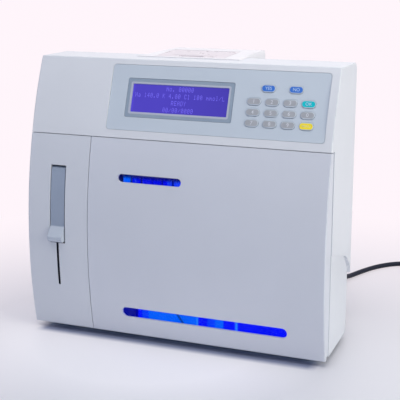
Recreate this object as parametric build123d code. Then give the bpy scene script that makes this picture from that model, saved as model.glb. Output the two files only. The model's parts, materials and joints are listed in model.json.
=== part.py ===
from build123d import *
from math import atan2, ceil, cos, degrees, dist, pi, radians, sin, sqrt, tan
import os

# Bench-top electrolyte analyzer, in millimetres.
# X runs to the right of the front, Y to the rear, Z up from the table. The origin is the middle of
# the footprint. A "depth" is counted to the rear from the foremost line of the bulged front.

# Outer case
WIDTH = 390.0
SHELL_HEIGHT = 341.5
FOOT_HEIGHT = 8.0
SHELL_DEPTH = 120.0
DEPTH = 200.0
WALL = 3.0
FRONT_RADIUS = 555.8
BULGE_HEIGHT = 119.8
REAR_CORNER = 9.0
EDGE_ROUND = 1.4
SEAM = 0.8
FIT = 0.3
SLIDE_FIT = 0.4
SEAM_HEIGHT = 256.0
SEAM_INSET = 84.4
SEAM_X = SEAM_INSET - WIDTH / 2
RETURN_DEPTH = 12.0
SHELF = 3.0
SHELF_DEPTH = 58.0
PAN = 2.0
PAN_UPSTAND = 16.0

# Rear casing and its panel
CASING_WIDTH = 348.0
CASING_DROP = 12.0
CASING_TAPER = 4.0
CASING_CORNER = 12.0
FLANGE_LAP = 6.0
VENT_DROP = 167.5
VENT_PITCH = 12.0
VENT_ROWS = 6
REAR_PANEL = 2.0

# Grip recess in each side
GRIP_DEPTH = 3.2
GRIP_START = 16.0
GRIP_PAD_START = 40.0
GRIP_RISE = 20.0
GRIP_LINE = ((92.4, 116.0), (102.4, 110.0), (116.4, 96.0), (120.0, 87.0))

# Front door, hinged at the right edge
HINGE_DEPTH = 22.4
HINGE_BEAD = 5.0
HINGE_X = WIDTH / 2 - HINGE_BEAD
HINGE_PIN = 3.0
PIN_FIT = 0.1
PIN_GRIP = 9.0
CATCH_DEPTH = 22.0
CATCH_WIDE = 5.0
CATCH_SPAN = (SEAM_HEIGHT - 30.0, SEAM_HEIGHT - 14.0)
DOOR_WALL = 3.0
WINDOW_GLASS = 1.5
WINDOW_LAP = 4.0
UPPER_WINDOW = (-70.5, 13.4, 203.6, 213.7)
LOWER_WINDOW = (-66.7, 149.3, 31.9, 44.6)

# Control panel on the sloping upper front
PANEL_INSET = 10.0
PANEL_RIGHT = WIDTH / 2 - PANEL_INSET
PANEL_WIDTH = 277.0
PANEL_LEFT = PANEL_RIGHT - PANEL_WIDTH
PANEL_BOTTOM = 265.8
PANEL_TOP = 343.0
PANEL_CORNER = 4.0
PANEL_SUNK = 1.2
OVERLAY = 1.2
CONSOLE_WALL = 4.5
LCD_INSET = 92.0
LCD_X = PANEL_LEFT + LCD_INSET
LCD_WIDTH = 125.4
LCD_HEIGHT = 35.0
LCD_FRAME = 6.8
LCD_HEIGHT_ON_PANEL = 304.5
LCD_SUNK = 1.6
KEY_WIDTH = 17.0
KEY_HEIGHT = 9.0
KEY_PROUD = 1.0
KEY_TRAVEL = 0.8
KEY_SKIRT = 0.9
KEY_GAP = 0.35
KEYS_INSET = 90.0
KEY_FIRST_X = PANEL_RIGHT - KEYS_INSET
KEY_PITCH_X = 22.1
KEY_ROW_TOP = 307.6
KEY_PITCH_Z = 12.15
TOP_KEY_X = (KEY_FIRST_X + 16.1, KEY_FIRST_X + 49.7)
TOP_KEY_Z = 322.7
BOARD = 1.6

# Sample lever and probe in the left strip
LEVER_INSET = 41.8
LEVER_X = LEVER_INSET - WIDTH / 2
LEVER_WIDTH = 19.4
LEVER_POCKET_WIDTH = 21.4
LEVER_POCKET_TOP = 218.0
LEVER_POCKET_BOTTOM = 120.0
LEVER_POCKET_DEPTH = 21.0
POCKET_WALL = 2.4
LEVER_PIVOT_DROP = 7.0
LEVER_PIVOT_HEIGHT = LEVER_POCKET_TOP - LEVER_PIVOT_DROP
LEVER_PIVOT_DEPTH = 14.0
LEVER_BARREL = 5.5
LEVER_THICK = 8.0
LEVER_SUNK = 0.8
LEVER_END = 122.0
TAB_TOP = 141.0
TAB_PROUD = 8.0
PROBE_DIAMETER = 1.6
PROBE_DEPTH = 7.5
PROBE_TIP = 66.5
SLOT_WIDTH = 2.8
SLOT_BOTTOM = 64.8

# Module bay behind the door
PLATE = 1.5
PLATE_DEPTH = 60.0
PLATE_GAP_LEFT = 4.6
PLATE_GAP_RIGHT = 9.0
PLATE_LEFT = SEAM_X + PLATE_GAP_LEFT
PLATE_RIGHT = WIDTH / 2 - PLATE_GAP_RIGHT
PLATE_TOP = 248.0
PLATE_FLANGE = 30.0
ELECTRODES = 6
ELECTRODE_PITCH = 14.2
ELECTRODE_GAP = 0.4
ELECTRODE_HEIGHT = 30.0
ELECTRODE_DEPTH = 24.0
ELECTRODE_BACK = 49.0
STACK_LEFT = -71.6
STACK_BOTTOM = 194.0
HOLDER_WALL = 4.0
LIGHT_THICK = 2.0
PUMP_INSET = 68.0
PUMP_X = PLATE_RIGHT - PUMP_INSET
PUMP_Z = 168.0
PUMP_TRACK = 29.0
ROLLER_ORBIT = 19.5
ROLLER_RADIUS = 5.0
ROLLERS = 3
TUBE_DIAMETER = 3.0
TUBE_GAP = 0.1
TUBE_BEND = 6.0
PUMP_HEAD_SIZE = 70.0
PUMP_HEAD_DEPTH = 20.0
ROTOR_GAP = 3.0
MOTOR_RADIUS = 21.0
MOTOR_LENGTH = 42.0
MOTOR_SHAFT = 2.5
VALVE_X = -30.0
VALVE_Z = 150.0
VALVE_SIZE = 24.0
VALVE_LENGTH = 26.0
PLUNGER_RADIUS = 4.0
PLUNGER_TRAVEL = 2.0
PACK_LEFT = -60.0
PACK_GAP = 8.0
PACK_RIGHT = PLATE_RIGHT - PACK_GAP
PACK_TOP = 96.0
PACK_FRONT = 27.0
PACK_BACK = 56.5
NECK_RADIUS = 6.0

# Electronics behind the module bay
MAIN_BOARD_DEPTH = 84.0
MAIN_BOARD_LEFT = -100.0
MAIN_BOARD_LOW = 120.0
MAIN_BOARD_WIDE = 160.0
MAIN_BOARD_TALL = 110.0
MAIN_BOARD_INSET = 6.0
CHIPS = (
    (40, 70, 30, 30, 4),
    (90, 75, 20, 14, 3),
    (125, 40, 18, 40, 5),
    (50, 22, 44, 9, 9),
    (92, 26, 24, 9, 3),
    (92, 48, 12, 12, 3),
    (60, 100, 54, 7, 9),
)
SUPPLY_GAP = 16.0
SCREW_INSET = 16.0
SUPPLY_SIZE = (150.0, 56.0, 42.0)
FAN_SIZE = 60.0
FAN_THICK = 20.0
FAN_INSET = 79.0
FAN_X = FAN_INSET - CASING_WIDTH / 2
FAN_Z = 240.0
FAN_HUB = 12.0
FAN_BLADES = 7

# Printer on the top, with its lid along a shallow ramp
LID_START = 86.0
LID_LENGTH = 60.0
LID_END = LID_START + LID_LENGTH
LID_LEFT = -54.0
LID_RIGHT = 38.0
LID_THICK = 2.5
LID_BARREL = 3.0
LID_AXIS = 4.0
PRINTER_LEFT = -78.0
PRINTER_RIGHT = 60.0
PRINTER_FRONT = 6.0
PRINTER_BEHIND = 30.0
PRINTER_START = LID_START - PRINTER_FRONT
PRINTER_END = LID_END + PRINTER_BEHIND
PRINTER_LIP = 1.0
PRINTER_RISE = 4.0
PRINTER_SLOPE = 15.0
RAMP_SHORT = 8.0
RAMP_END = LID_END - RAMP_SHORT
TUB_WALL = 2.0
TUB_DEEP = 66.0
ROLL_ROOM = 10.0
ROLL_GAP = 2.0
ROLL_RADIUS = LID_LENGTH / 2 - ROLL_ROOM
ROLL_WIDTH = 57.5
ROLL_CORE = 6.0
ROLL_DEPTH = LID_END - ROLL_RADIUS - ROLL_GAP
ROLL_DROP = 28.0
CHEEK_HALF = 16.0
CHEEK_DROP = 14.0
PLATEN_RADIUS = 4.5
PLATEN_SET = 10.0
PLATEN_DEPTH = LID_START + PLATEN_SET
PLATEN_DROP = 13.0
PAPER_SLOT = 1.2

# Mains inlet, switch and cord
INLET_INSET = 36.0
INLET_X = CASING_WIDTH / 2 - INLET_INSET
INLET_Z = 62.0
INLET_WIDTH = 50.0
INLET_HEIGHT = 60.0
INLET_PROUD = 3.0
INLET_DEEP = 26.0
INLET_LOW = 15.0
NOSE_LENGTH = 15.0
SWITCH_TILT = 12.0
SWITCH_LENGTH = 19.0
SWITCH_WIDTH = 13.8
SWITCH_GAP = 0.9
SWITCH_PIVOT = 7.5
PLUG_BODY = (28.0, 27.0, 20.0)
RELIEF = 25.0
CORD_DIAMETER = 7.0
COIL_OUTER = 42.0
COIL_PITCH = 7.9
COIL_HALF_TURNS = 5
COIL_CLIMB_TIGHTER = 3.3
COIL_TAIL = 26.0

FRONT = -(DEPTH + INLET_PROUD - TAB_PROUD) / 2
TOP = FOOT_HEIGHT + SHELL_HEIGHT
HALF = WIDTH / 2
FAR = 2 * WIDTH


def back(depth):
    """The Y of a place that lies this far behind the foremost line of the front."""
    return FRONT + depth


def face_depth(height, inset=0.0):
    """How deep the curved front lies at a height, or the surface this far inside it."""
    return FRONT_RADIUS - sqrt((FRONT_RADIUS - inset) ** 2 - (height - BULGE_HEIGHT) ** 2)


def block(x0, x1, y0, y1, z0, z1):
    return Pos((x0 + x1) / 2, (y0 + y1) / 2, (z0 + z1) / 2) * Box(x1 - x0, y1 - y0, z1 - z0)


def rod_x(radius, x0, x1, y, z):
    return Pos((x0 + x1) / 2, y, z) * Rot(0, 90, 0) * Cylinder(radius, x1 - x0)


def rod_y(radius, y0, y1, x, z):
    return Pos(x, (y0 + y1) / 2, z) * Rot(90, 0, 0) * Cylinder(radius, y1 - y0)


def rod_z(radius, z0, z1, x, y):
    return Pos(x, y, (z0 + z1) / 2) * Cylinder(radius, z1 - z0)


def drum(inset=0.0):
    """The round barrel whose surface is the curved front, or lies this far inside it."""
    return Pos(0, back(FRONT_RADIUS), BULGE_HEIGHT) * Rot(0, 90, 0) * Cylinder(FRONT_RADIUS - inset, FAR)


def skin(x0, x1, z0, z1, inset=0.0, thick=WALL):
    """A curved sheet of the front, this thick and this far inside the outer surface."""
    reach = block(x0, x1, FRONT - 1, back(FRONT_RADIUS / 2), z0, z1)
    return (reach & drum(inset)) - drum(inset + thick)


def slot_cut(window, grow=0.0):
    """A slot with round ends, cut along Y."""
    x0, x1, z0, z1 = window
    height = z1 - z0 + 2 * grow
    outline = SlotOverall(x1 - x0 + 2 * grow, height)
    middle = Plane(((x0 + x1) / 2, FRONT - 20, (z0 + z1) / 2), (1, 0, 0), (0, 1, 0))
    return extrude(middle * outline, 60)


def edges_on_side(shape, x):
    return shape.edges().filter_by(lambda edge: abs(edge.center().X - x) < 0.01)


def side_profile(points):
    """A face in the YZ plane, through (depth, height) corners."""
    corners = [(back(depth), height) for depth, height in points]
    return Plane.YZ * make_face(Polyline(corners, close=True))


# The sloping control panel lies on the chord between its two edges on the curved front.
PANEL_TILT = atan2(face_depth(PANEL_TOP) - face_depth(PANEL_BOTTOM), PANEL_TOP - PANEL_BOTTOM)
PANEL_MID_X = (PANEL_LEFT + PANEL_RIGHT) / 2
PANEL_MID_Z = (PANEL_TOP + PANEL_BOTTOM) / 2
PANEL_MID_DEPTH = (face_depth(PANEL_TOP) + face_depth(PANEL_BOTTOM)) / 2
PANEL_LENGTH = (PANEL_TOP - PANEL_BOTTOM) / cos(PANEL_TILT)
PANEL_PLANE = Plane(
    (PANEL_MID_X, back(PANEL_MID_DEPTH), PANEL_MID_Z),
    (1, 0, 0),
    (0, -cos(PANEL_TILT), sin(PANEL_TILT)),
)


def on_panel(x, height, out=0.0):
    """The panel's plane moved to a place given by its X and its height, and raised by out."""
    up = (height - PANEL_MID_Z) / cos(PANEL_TILT)
    return PANEL_PLANE * Pos(x - PANEL_MID_X, up, out)


def panel_slab(x, height, width, tall, out_low, out_high, corner=0.0):
    """A flat plate on the panel, between two distances from the panel's chord plane."""
    outline = RectangleRounded(width, tall, corner) if corner else Rectangle(width, tall)
    return on_panel(x, height, out_low) * extrude(outline, out_high - out_low)


def key_places():
    """Every key's X and height: three rows of four, then the two upper keys."""
    places = []
    for row in range(3):
        for column in range(4):
            places.append((KEY_FIRST_X + column * KEY_PITCH_X, KEY_ROW_TOP - row * KEY_PITCH_Z))
    for x in TOP_KEY_X:
        places.append((x, TOP_KEY_Z))
    return places


PANEL_FACE = -PANEL_SUNK + OVERLAY
KEYPAD_WINDOW = (KEY_FIRST_X - 11.0, KEY_FIRST_X + 78.0, 274.5, 330.5)
OPEN_DEPTH = HINGE_DEPTH + HINGE_BEAD + SEAM
INSIDE = HALF - WALL
CASING_HALF = CASING_WIDTH / 2
CASING_TOP = TOP - CASING_DROP
CASING_END = DEPTH - REAR_PANEL


def grip_top():
    return GRIP_LINE[0][1] + GRIP_RISE


def grip_recess():
    """The shallow wedge let into the lower right side, deepest at its rear edge."""
    start = (GRIP_START, grip_top())
    corners = [start, *GRIP_LINE, (GRIP_LINE[-1][0] + 1, 0), (GRIP_START, 0)]
    prism = extrude(side_profile(corners), FAR)
    slope = atan2(GRIP_DEPTH, GRIP_LINE[0][0] - GRIP_START)
    hinge_line = Pos(HALF, back(GRIP_START), 0) * Rot(0, 0, degrees(slope))
    return prism & (hinge_line * block(0, 40, -1, 140, -10, TOP))


def case_block():
    """The outer form of the front shell, solid."""
    outer = block(-HALF, HALF, FRONT - 1, back(SHELL_DEPTH), FOOT_HEIGHT, TOP) & drum()
    rear = outer.edges().filter_by(Axis.X).sort_by(Axis.Y)[-2:]
    outer = fillet(rear, REAR_CORNER)
    front_top = outer.edges().filter_by(Axis.X).group_by(Axis.Z)[-1].sort_by(Axis.Y)[0]
    outer = fillet(front_top, EDGE_ROUND)
    for x in (-HALF, HALF):
        outer = fillet(edges_on_side(outer, x), EDGE_ROUND)
    return outer


def main_cover():
    """The one-piece front shell: both sides, the top and the sloping console."""
    outer = case_block()
    rear_wall = back(SHELL_DEPTH - WALL)
    shell = outer - block(-INSIDE, INSIDE, FRONT - 5, rear_wall, 0, SEAM_HEIGHT + SEAM / 2)
    for x0, x1 in ((-HALF - 1, -INSIDE), (INSIDE, HALF + 1)):
        shell -= block(x0, x1, FRONT - 5, back(OPEN_DEPTH), 0, SEAM_HEIGHT + SEAM / 2)
    shelf_top = SEAM_HEIGHT + SEAM / 2 + SHELF
    room = block(-INSIDE, INSIDE, FRONT, rear_wall, shelf_top, TOP - WALL)
    behind_console = PANEL_PLANE * Pos(0, 0, -CONSOLE_WALL - FAR / 2) * Box(2 * FAR, FAR, FAR)
    shell -= room & behind_console
    shell -= block(-INSIDE, INSIDE, back(SHELF_DEPTH), rear_wall, 0, shelf_top + 1)

    opening = CASING_HALF - FLANGE_LAP
    shell -= block(-opening, opening, rear_wall - 1, FAR, 0, CASING_TOP - FLANGE_LAP)
    shell -= printer_well(FIT)
    shell -= rod_z(HINGE_PIN / 2, SEAM_HEIGHT, shelf_top + 1, HINGE_X, back(HINGE_DEPTH))
    for side in (1, -1):
        pad_top = grip_top() + WALL
        pad = block(INSIDE - GRIP_DEPTH, INSIDE, back(GRIP_PAD_START), rear_wall, FOOT_HEIGHT, pad_top)
        shell += pad if side > 0 else mirror(pad, Plane.YZ)
        recess = grip_recess()
        shell -= recess if side > 0 else mirror(recess, Plane.YZ)

    panel_width = PANEL_RIGHT - PANEL_LEFT
    shell -= panel_slab(PANEL_MID_X, PANEL_MID_Z, panel_width, PANEL_LENGTH, -PANEL_SUNK, 9, PANEL_CORNER)
    lcd_wide = LCD_WIDTH + 2 * LCD_FRAME
    lcd_tall = LCD_HEIGHT + 2 * LCD_FRAME
    shell -= panel_slab(LCD_X, LCD_HEIGHT_ON_PANEL, lcd_wide, lcd_tall, -CONSOLE_WALL - 5, 5)
    x0, x1, z0, z1 = KEYPAD_WINDOW
    tall = (z1 - z0) / cos(PANEL_TILT)
    shell -= panel_slab((x0 + x1) / 2, (z0 + z1) / 2, x1 - x0, tall, -CONSOLE_WALL - 5, 5)
    return shell


def printer_well(grow=0.0):
    """The straight-sided well that the printer's tub hangs in."""
    x0 = LID_LEFT - TUB_WALL - grow
    x1 = LID_RIGHT + TUB_WALL + grow
    y0 = back(LID_START - grow)
    y1 = back(LID_END + TUB_WALL + grow)
    return block(x0, x1, y0, y1, TOP + PRINTER_RISE - TUB_DEEP - grow, TOP + PRINTER_RISE + 1)


def sampler_panel():
    """The narrow left front panel, with the lever's pocket and the probe's slot."""
    x1 = SEAM_X - SEAM / 2
    z1 = SEAM_HEIGHT - SEAM / 2
    tray = skin(-HALF, x1, FOOT_HEIGHT, z1, 0, RETURN_DEPTH)
    tray -= skin(-INSIDE, x1 - WALL, FOOT_HEIGHT + WALL, z1 - WALL, WALL, FRONT_RADIUS / 4)
    side = block(-HALF, -INSIDE, FRONT, back(OPEN_DEPTH - FIT), FOOT_HEIGHT, z1) & drum()
    tongue = block(-INSIDE, -INSIDE + WALL, back(HINGE_DEPTH), back(OPEN_DEPTH + 10), 40, z1 - 20)
    panel = tray + side + tongue
    panel = fillet(edges_on_side(panel, -HALF).sort_by(Axis.Y)[:1], EDGE_ROUND)

    half = LEVER_POCKET_WIDTH / 2
    wall = POCKET_WALL
    x0, x1 = LEVER_X - half, LEVER_X + half
    z0, z1 = LEVER_POCKET_BOTTOM, LEVER_POCKET_TOP
    floor = back(LEVER_POCKET_DEPTH)
    pocket = block(x0 - wall, x1 + wall, FRONT, floor + wall, z0 - wall, z1 + wall) & drum(WALL)
    panel += pocket
    panel -= block(x0, x1, FRONT - 5, floor, z0, z1)
    panel -= rod_x(HINGE_PIN / 2, x0 - wall - 1, x1 + wall + 1, back(LEVER_PIVOT_DEPTH), LEVER_PIVOT_HEIGHT)
    slot = SLOT_WIDTH / 2
    reach = PROBE_DEPTH + PROBE_DIAMETER
    panel -= block(LEVER_X - slot, LEVER_X + slot, FRONT - 5, back(reach), SLOT_BOTTOM, z0 + 1)
    return panel


def sample_lever():
    """The lever that swings the probe out: a curved bar, a pivot barrel and a finger tab."""
    half = LEVER_WIDTH / 2
    x0, x1 = LEVER_X - half, LEVER_X + half
    pivot_y = back(LEVER_PIVOT_DEPTH)
    bar = skin(x0, x1, LEVER_END, LEVER_PIVOT_HEIGHT, LEVER_SUNK, LEVER_THICK)
    barrel = rod_x(LEVER_BARREL, x0, x1, pivot_y, LEVER_PIVOT_HEIGHT)
    neck_front = face_depth(LEVER_PIVOT_HEIGHT, LEVER_SUNK)
    neck = block(x0, x1, back(neck_front + 1), pivot_y, LEVER_PIVOT_HEIGHT - 12, LEVER_PIVOT_HEIGHT)
    root = face_depth(LEVER_END, LEVER_SUNK) + 4
    corners = [(root, TAB_TOP + 4), (0.6, TAB_TOP), (-TAB_PROUD, TAB_TOP - 12)]
    corners += [(-TAB_PROUD, LEVER_END + 3), (-TAB_PROUD + 3, LEVER_END), (root, LEVER_END)]
    tab = Pos(x0, 0, 0) * extrude(side_profile(corners), LEVER_WIDTH)
    lever = bar + barrel + neck + tab
    lever -= rod_x(HINGE_PIN / 2 + PIN_FIT, x0 - 1, x1 + 1, pivot_y, LEVER_PIVOT_HEIGHT)
    return lever


def sample_probe():
    """The steel needle with its collar, carried under the lever."""
    y = back(PROBE_DEPTH - PROBE_DIAMETER / 2)
    needle = rod_z(PROBE_DIAMETER / 2, PROBE_TIP, LEVER_END, LEVER_X, y)
    bevel = Pos(LEVER_X, y - PROBE_DIAMETER, PROBE_TIP) * Rot(35, 0, 0) * Box(4, 4, 2)
    return needle - bevel


def hinge_pins():
    """The door's upper and lower pins and the lever's cross pin."""
    y = back(HINGE_DEPTH)
    radius = HINGE_PIN / 2
    shelf_top = SEAM_HEIGHT + SEAM / 2 + SHELF
    upper = rod_z(radius, SEAM_HEIGHT - SEAM / 2 - PIN_GRIP, shelf_top, HINGE_X, y)
    lower = rod_z(radius, FOOT_HEIGHT, FOOT_HEIGHT + WALL + SEAM + PIN_GRIP, HINGE_X, y)
    reach = LEVER_POCKET_WIDTH / 2 + POCKET_WALL
    cross = rod_x(radius, LEVER_X - reach, LEVER_X + reach, back(LEVER_PIVOT_DEPTH), LEVER_PIVOT_HEIGHT)
    return upper + lower + cross


def front_door():
    """The wide front door: a curved skin with returns all round and a hinge bead at the right."""
    x0 = SEAM_X + SEAM / 2
    z0, z1 = FOOT_HEIGHT, SEAM_HEIGHT - SEAM / 2
    y = back(HINGE_DEPTH)
    bead_bottom = FOOT_HEIGHT + WALL + SEAM
    tray = skin(x0, HALF, z0, z1, 0, RETURN_DEPTH)
    tray -= skin(x0 + DOOR_WALL, INSIDE, z0 + DOOR_WALL, z1 - DOOR_WALL, DOOR_WALL, FRONT_RADIUS / 4)
    tray -= block(HINGE_X - 9, HALF + 1, y, FAR, 0, TOP)
    tray -= block(HINGE_X - 9, HALF + 1, y - HINGE_BEAD, FAR, 0, bead_bottom)
    side = block(INSIDE, HALF, FRONT, y, bead_bottom, z1) & drum()
    bead = rod_z(HINGE_BEAD, bead_bottom, z1, HINGE_X, y) & drum()
    web_depth = HINGE_DEPTH - HINGE_BEAD
    web = block(HINGE_X - HINGE_BEAD, HALF, back(web_depth - 4), y, bead_bottom, z1) & drum(DOOR_WALL)
    door = tray + side + bead + web
    door -= rod_z(HINGE_PIN / 2 + PIN_FIT, 0, bead_bottom + PIN_GRIP + 1, HINGE_X, y)
    door -= rod_z(HINGE_PIN / 2 + PIN_FIT, z1 - PIN_GRIP - 1, TOP, HINGE_X, y)
    door += block(x0 + 1, PLATE_LEFT + CATCH_WIDE, FRONT, back(CATCH_DEPTH), *CATCH_SPAN) & drum(1)
    for window in (UPPER_WINDOW, LOWER_WINDOW):
        door -= slot_cut(window)
    return fillet(edges_on_side(door, HALF).sort_by(Axis.Y)[:1], EDGE_ROUND)


def door_windows():
    """Two clear strips behind the door's slots."""
    panes = []
    for x0, x1, z0, z1 in (UPPER_WINDOW, LOWER_WINDOW):
        lap = WINDOW_LAP
        panes.append(skin(x0 - lap, x1 + lap, z0 - lap, z1 + lap, DOOR_WALL, WINDOW_GLASS))
    return panes[0] + panes[1]


def rubber_feet():
    feet = []
    for x in (-1, 1):
        for depth, reach in ((40.0, HALF - 28), (DEPTH - 24, CASING_HALF - 26)):
            foot = Cylinder(11, FOOT_HEIGHT)
            foot = chamfer(foot.edges().sort_by(Axis.Z)[0], 1.2)
            feet.append(Pos(x * reach, back(depth), FOOT_HEIGHT / 2) * foot)
    return Compound(feet)


def pan_front():
    return face_depth(FOOT_HEIGHT) + RETURN_DEPTH + SEAM


def base_plate():
    """The steel floor pan, with the lug for the door's lower pin and an upstand at the rear."""
    z0, z1 = FOOT_HEIGHT, FOOT_HEIGHT + PAN
    wide = INSIDE - FIT
    narrow = CASING_HALF - CASING_TAPER - WALL - FIT
    plate = block(-wide, wide, back(pan_front()), back(GRIP_PAD_START - FIT), z0, z1)
    middle = wide - GRIP_DEPTH
    plate += block(-middle, middle, back(pan_front()), back(SHELL_DEPTH - WALL - FIT), z0, z1)
    plate += block(-narrow, narrow, back(SHELL_DEPTH - 10), back(CASING_END), z0, z1)
    plate += block(-narrow + 12, narrow - 12, back(CASING_END - PAN), back(CASING_END), z0, z1 + PAN_UPSTAND)
    lug = block(HINGE_X - 4.4, wide, back(HINGE_DEPTH), back(pan_front() + 4), z0, z0 + WALL)
    lug += rod_z(4.4, z0, z0 + WALL, HINGE_X, back(HINGE_DEPTH)) & block(0, wide, FRONT, FAR, 0, TOP)
    plate += lug
    plate -= rod_z(HINGE_PIN / 2, 0, TOP, HINGE_X, back(HINGE_DEPTH))
    for row in range(5):
        for column in range(2):
            slot = extrude(SlotOverall(24, 5), 10, both=True)
            plate -= Pos(-70 + row * 34, back(SHELL_DEPTH + column * 34), z0) * slot
    return plate


def hood_ring(depth, shrink, inset):
    """The hood's section at a depth, as a face across the case."""
    low = -CASING_CORNER * 2
    width = CASING_WIDTH - 2 * shrink - 2 * inset
    height = CASING_TOP - shrink - inset - low
    plane = Plane((0, back(depth), low + height / 2), (-1, 0, 0), (0, 1, 0))
    return plane * RectangleRounded(width, height, CASING_CORNER - inset)


def hood_block(inset=0.0):
    """The form of the rear hood, solid, this far inside its outer surface."""
    return loft([hood_ring(SHELL_DEPTH, 0.0, inset), hood_ring(CASING_END, CASING_TAPER, inset)])


def rear_casing():
    """The narrower rear hood, tapering slightly to its open back."""
    hood = hood_block() - hood_block(WALL)
    hood -= block(-FAR, FAR, -FAR, FAR, -FAR, FOOT_HEIGHT)
    hood -= printer_well(FIT)
    pitch = (CASING_END - SHELL_DEPTH - 10) / 2
    slot = Plane.YZ * SlotOverall(pitch - 8, 4)
    for row in range(VENT_ROWS):
        z = CASING_TOP - VENT_DROP + row * VENT_PITCH
        for column in range(2):
            place = Pos(0, back(SHELL_DEPTH + 7 + (column + 0.5) * pitch), z)
            hood -= place * extrude(slot, CASING_WIDTH, both=True)
    return hood


def rear_panel():
    """The flat metal back with the fan's grille and the inlet's cut-out."""
    panel = extrude(hood_ring(CASING_END, CASING_TAPER, 0.0), REAR_PANEL)
    panel -= block(-FAR, FAR, -FAR, FAR, -FAR, FOOT_HEIGHT)
    panel -= inlet_body(FIT)
    for ring in range(1, 4):
        outer = ring * 8.0
        band = rod_y(outer + 2.2, back(CASING_END - 5), back(DEPTH + 5), FAN_X, FAN_Z)
        band -= rod_y(outer - 2.2, back(CASING_END - 5), back(DEPTH + 5), FAN_X, FAN_Z)
        for angle in (45, 135):
            spoke = Pos(FAN_X, back(DEPTH), FAN_Z) * Rot(0, angle, 0) * Box(80, 30, 4)
            band -= spoke
        panel -= band
    for row in range(7):
        outline = Plane.XZ * SlotOverall(40, 4)
        panel -= Pos(20, back(DEPTH + 10), 190 + row * 12) * extrude(outline, 30, both=True)
    return panel


def overlay_panel():
    """The flat control overlay, open over the display and under each key."""
    width = PANEL_RIGHT - PANEL_LEFT - 2 * FIT
    tall = PANEL_LENGTH - 2 * FIT
    plate = panel_slab(PANEL_MID_X, PANEL_MID_Z, width, tall, -PANEL_SUNK, PANEL_FACE, PANEL_CORNER - FIT)
    lcd_wide = LCD_WIDTH + 2 * LCD_FRAME
    lcd_tall = LCD_HEIGHT + 2 * LCD_FRAME
    plate -= panel_slab(LCD_X, LCD_HEIGHT_ON_PANEL, lcd_wide, lcd_tall, -9, 9, 2)
    for x, height in key_places():
        hole = SlotOverall(KEY_WIDTH + 2 * KEY_GAP, KEY_HEIGHT + 2 * KEY_GAP)
        plate -= on_panel(x, height, -9) * extrude(hole, 18)
    return plate


def key_cap(x, height):
    """One key: a round-ended cap on a wider skirt that stops under the overlay."""
    skirt_top = -PANEL_SUNK - FIT
    cap = extrude(SlotOverall(KEY_WIDTH, KEY_HEIGHT), PANEL_FACE + KEY_PROUD - skirt_top)
    cap = fillet(cap.edges().group_by(Axis.Z)[-1], 0.6)
    skirt = Pos(0, 0, -1) * extrude(SlotOverall(KEY_WIDTH + 2 * KEY_SKIRT, KEY_HEIGHT + 2 * KEY_SKIRT), 1)
    foot = CONSOLE_WALL - PANEL_SUNK - FIT - KEY_TRAVEL - FIT
    stem = Pos(0, 0, -foot) * extrude(SlotOverall(KEY_WIDTH - 7, KEY_HEIGHT - 4), foot)
    return on_panel(x, height, skirt_top) * (cap + skirt + stem)


def keypad_board():
    """The switch board behind the keys, with a bank of small parts at its back."""
    x0, x1, z0, z1 = KEYPAD_WINDOW
    x, height = (x0 + x1) / 2, (z0 + z1) / 2
    wide, tall = x1 - x0 + 8, (z1 - z0) / cos(PANEL_TILT) + 8
    board = panel_slab(x, height, wide, tall, -CONSOLE_WALL - BOARD, -CONSOLE_WALL)
    connector = panel_slab(x, height, 34, 6, -CONSOLE_WALL - BOARD - 6, -CONSOLE_WALL - BOARD)
    return board + connector


def lcd_module():
    """The display's frame, set in the panel, and the circuit board behind it."""
    wide = LCD_WIDTH + 2 * LCD_FRAME - 2 * FIT
    tall = LCD_HEIGHT + 2 * LCD_FRAME - 2 * FIT
    frame = panel_slab(LCD_X, LCD_HEIGHT_ON_PANEL, wide, tall, -CONSOLE_WALL, PANEL_FACE - FIT, 1.7)
    frame -= panel_slab(LCD_X, LCD_HEIGHT_ON_PANEL, LCD_WIDTH, LCD_HEIGHT, -LCD_SUNK - 1, 9, 1)
    board = panel_slab(LCD_X, LCD_HEIGHT_ON_PANEL, wide + 8, tall + 8, -CONSOLE_WALL - BOARD, -CONSOLE_WALL)
    return frame + board


def lcd_glass():
    wide, tall = LCD_WIDTH - 2 * FIT, LCD_HEIGHT - 2 * FIT
    return panel_slab(LCD_X, LCD_HEIGHT_ON_PANEL, wide, tall, -LCD_SUNK - 1, -LCD_SUNK, 0.7)


def module_plate():
    """The folded steel plate that carries everything wet, seen when the door is open."""
    y0, y1 = back(PLATE_DEPTH), back(PLATE_DEPTH + PLATE)
    z0 = FOOT_HEIGHT + PAN
    plate = block(PLATE_LEFT, PLATE_RIGHT, y0, y1, z0, PLATE_TOP)
    plate += block(PLATE_LEFT, PLATE_RIGHT, y1, y1 + 14, z0, z0 + PLATE)
    side_front = back(PLATE_DEPTH - PLATE_FLANGE)
    plate += block(PLATE_LEFT, PLATE_LEFT + PLATE, side_front, y1, z0, PLATE_TOP)
    plate += block(PLATE_RIGHT - PLATE, PLATE_RIGHT, side_front + 6, y1, z0, PLATE_TOP)
    catch = back(CATCH_DEPTH + FIT)
    plate += block(PLATE_LEFT, PLATE_LEFT + CATCH_WIDE, catch, side_front + 1, *CATCH_SPAN)
    plate -= rod_y(PLUNGER_RADIUS + 3, y0 - 1, y1 + 1, VALVE_X + 40, VALVE_Z)
    plate -= rod_y(MOTOR_SHAFT + 2, y0 - 1, y1 + 1, PUMP_X, PUMP_Z)
    for x in (PLATE_LEFT + 16, PLATE_RIGHT - 16):
        for z in (PLATE_TOP - 12, z0 + 110):
            plate -= rod_y(2.2, y0 - 1, y1 + 1, x, z)
    return plate


def stack_right():
    return STACK_LEFT + ELECTRODES * ELECTRODE_PITCH


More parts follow.
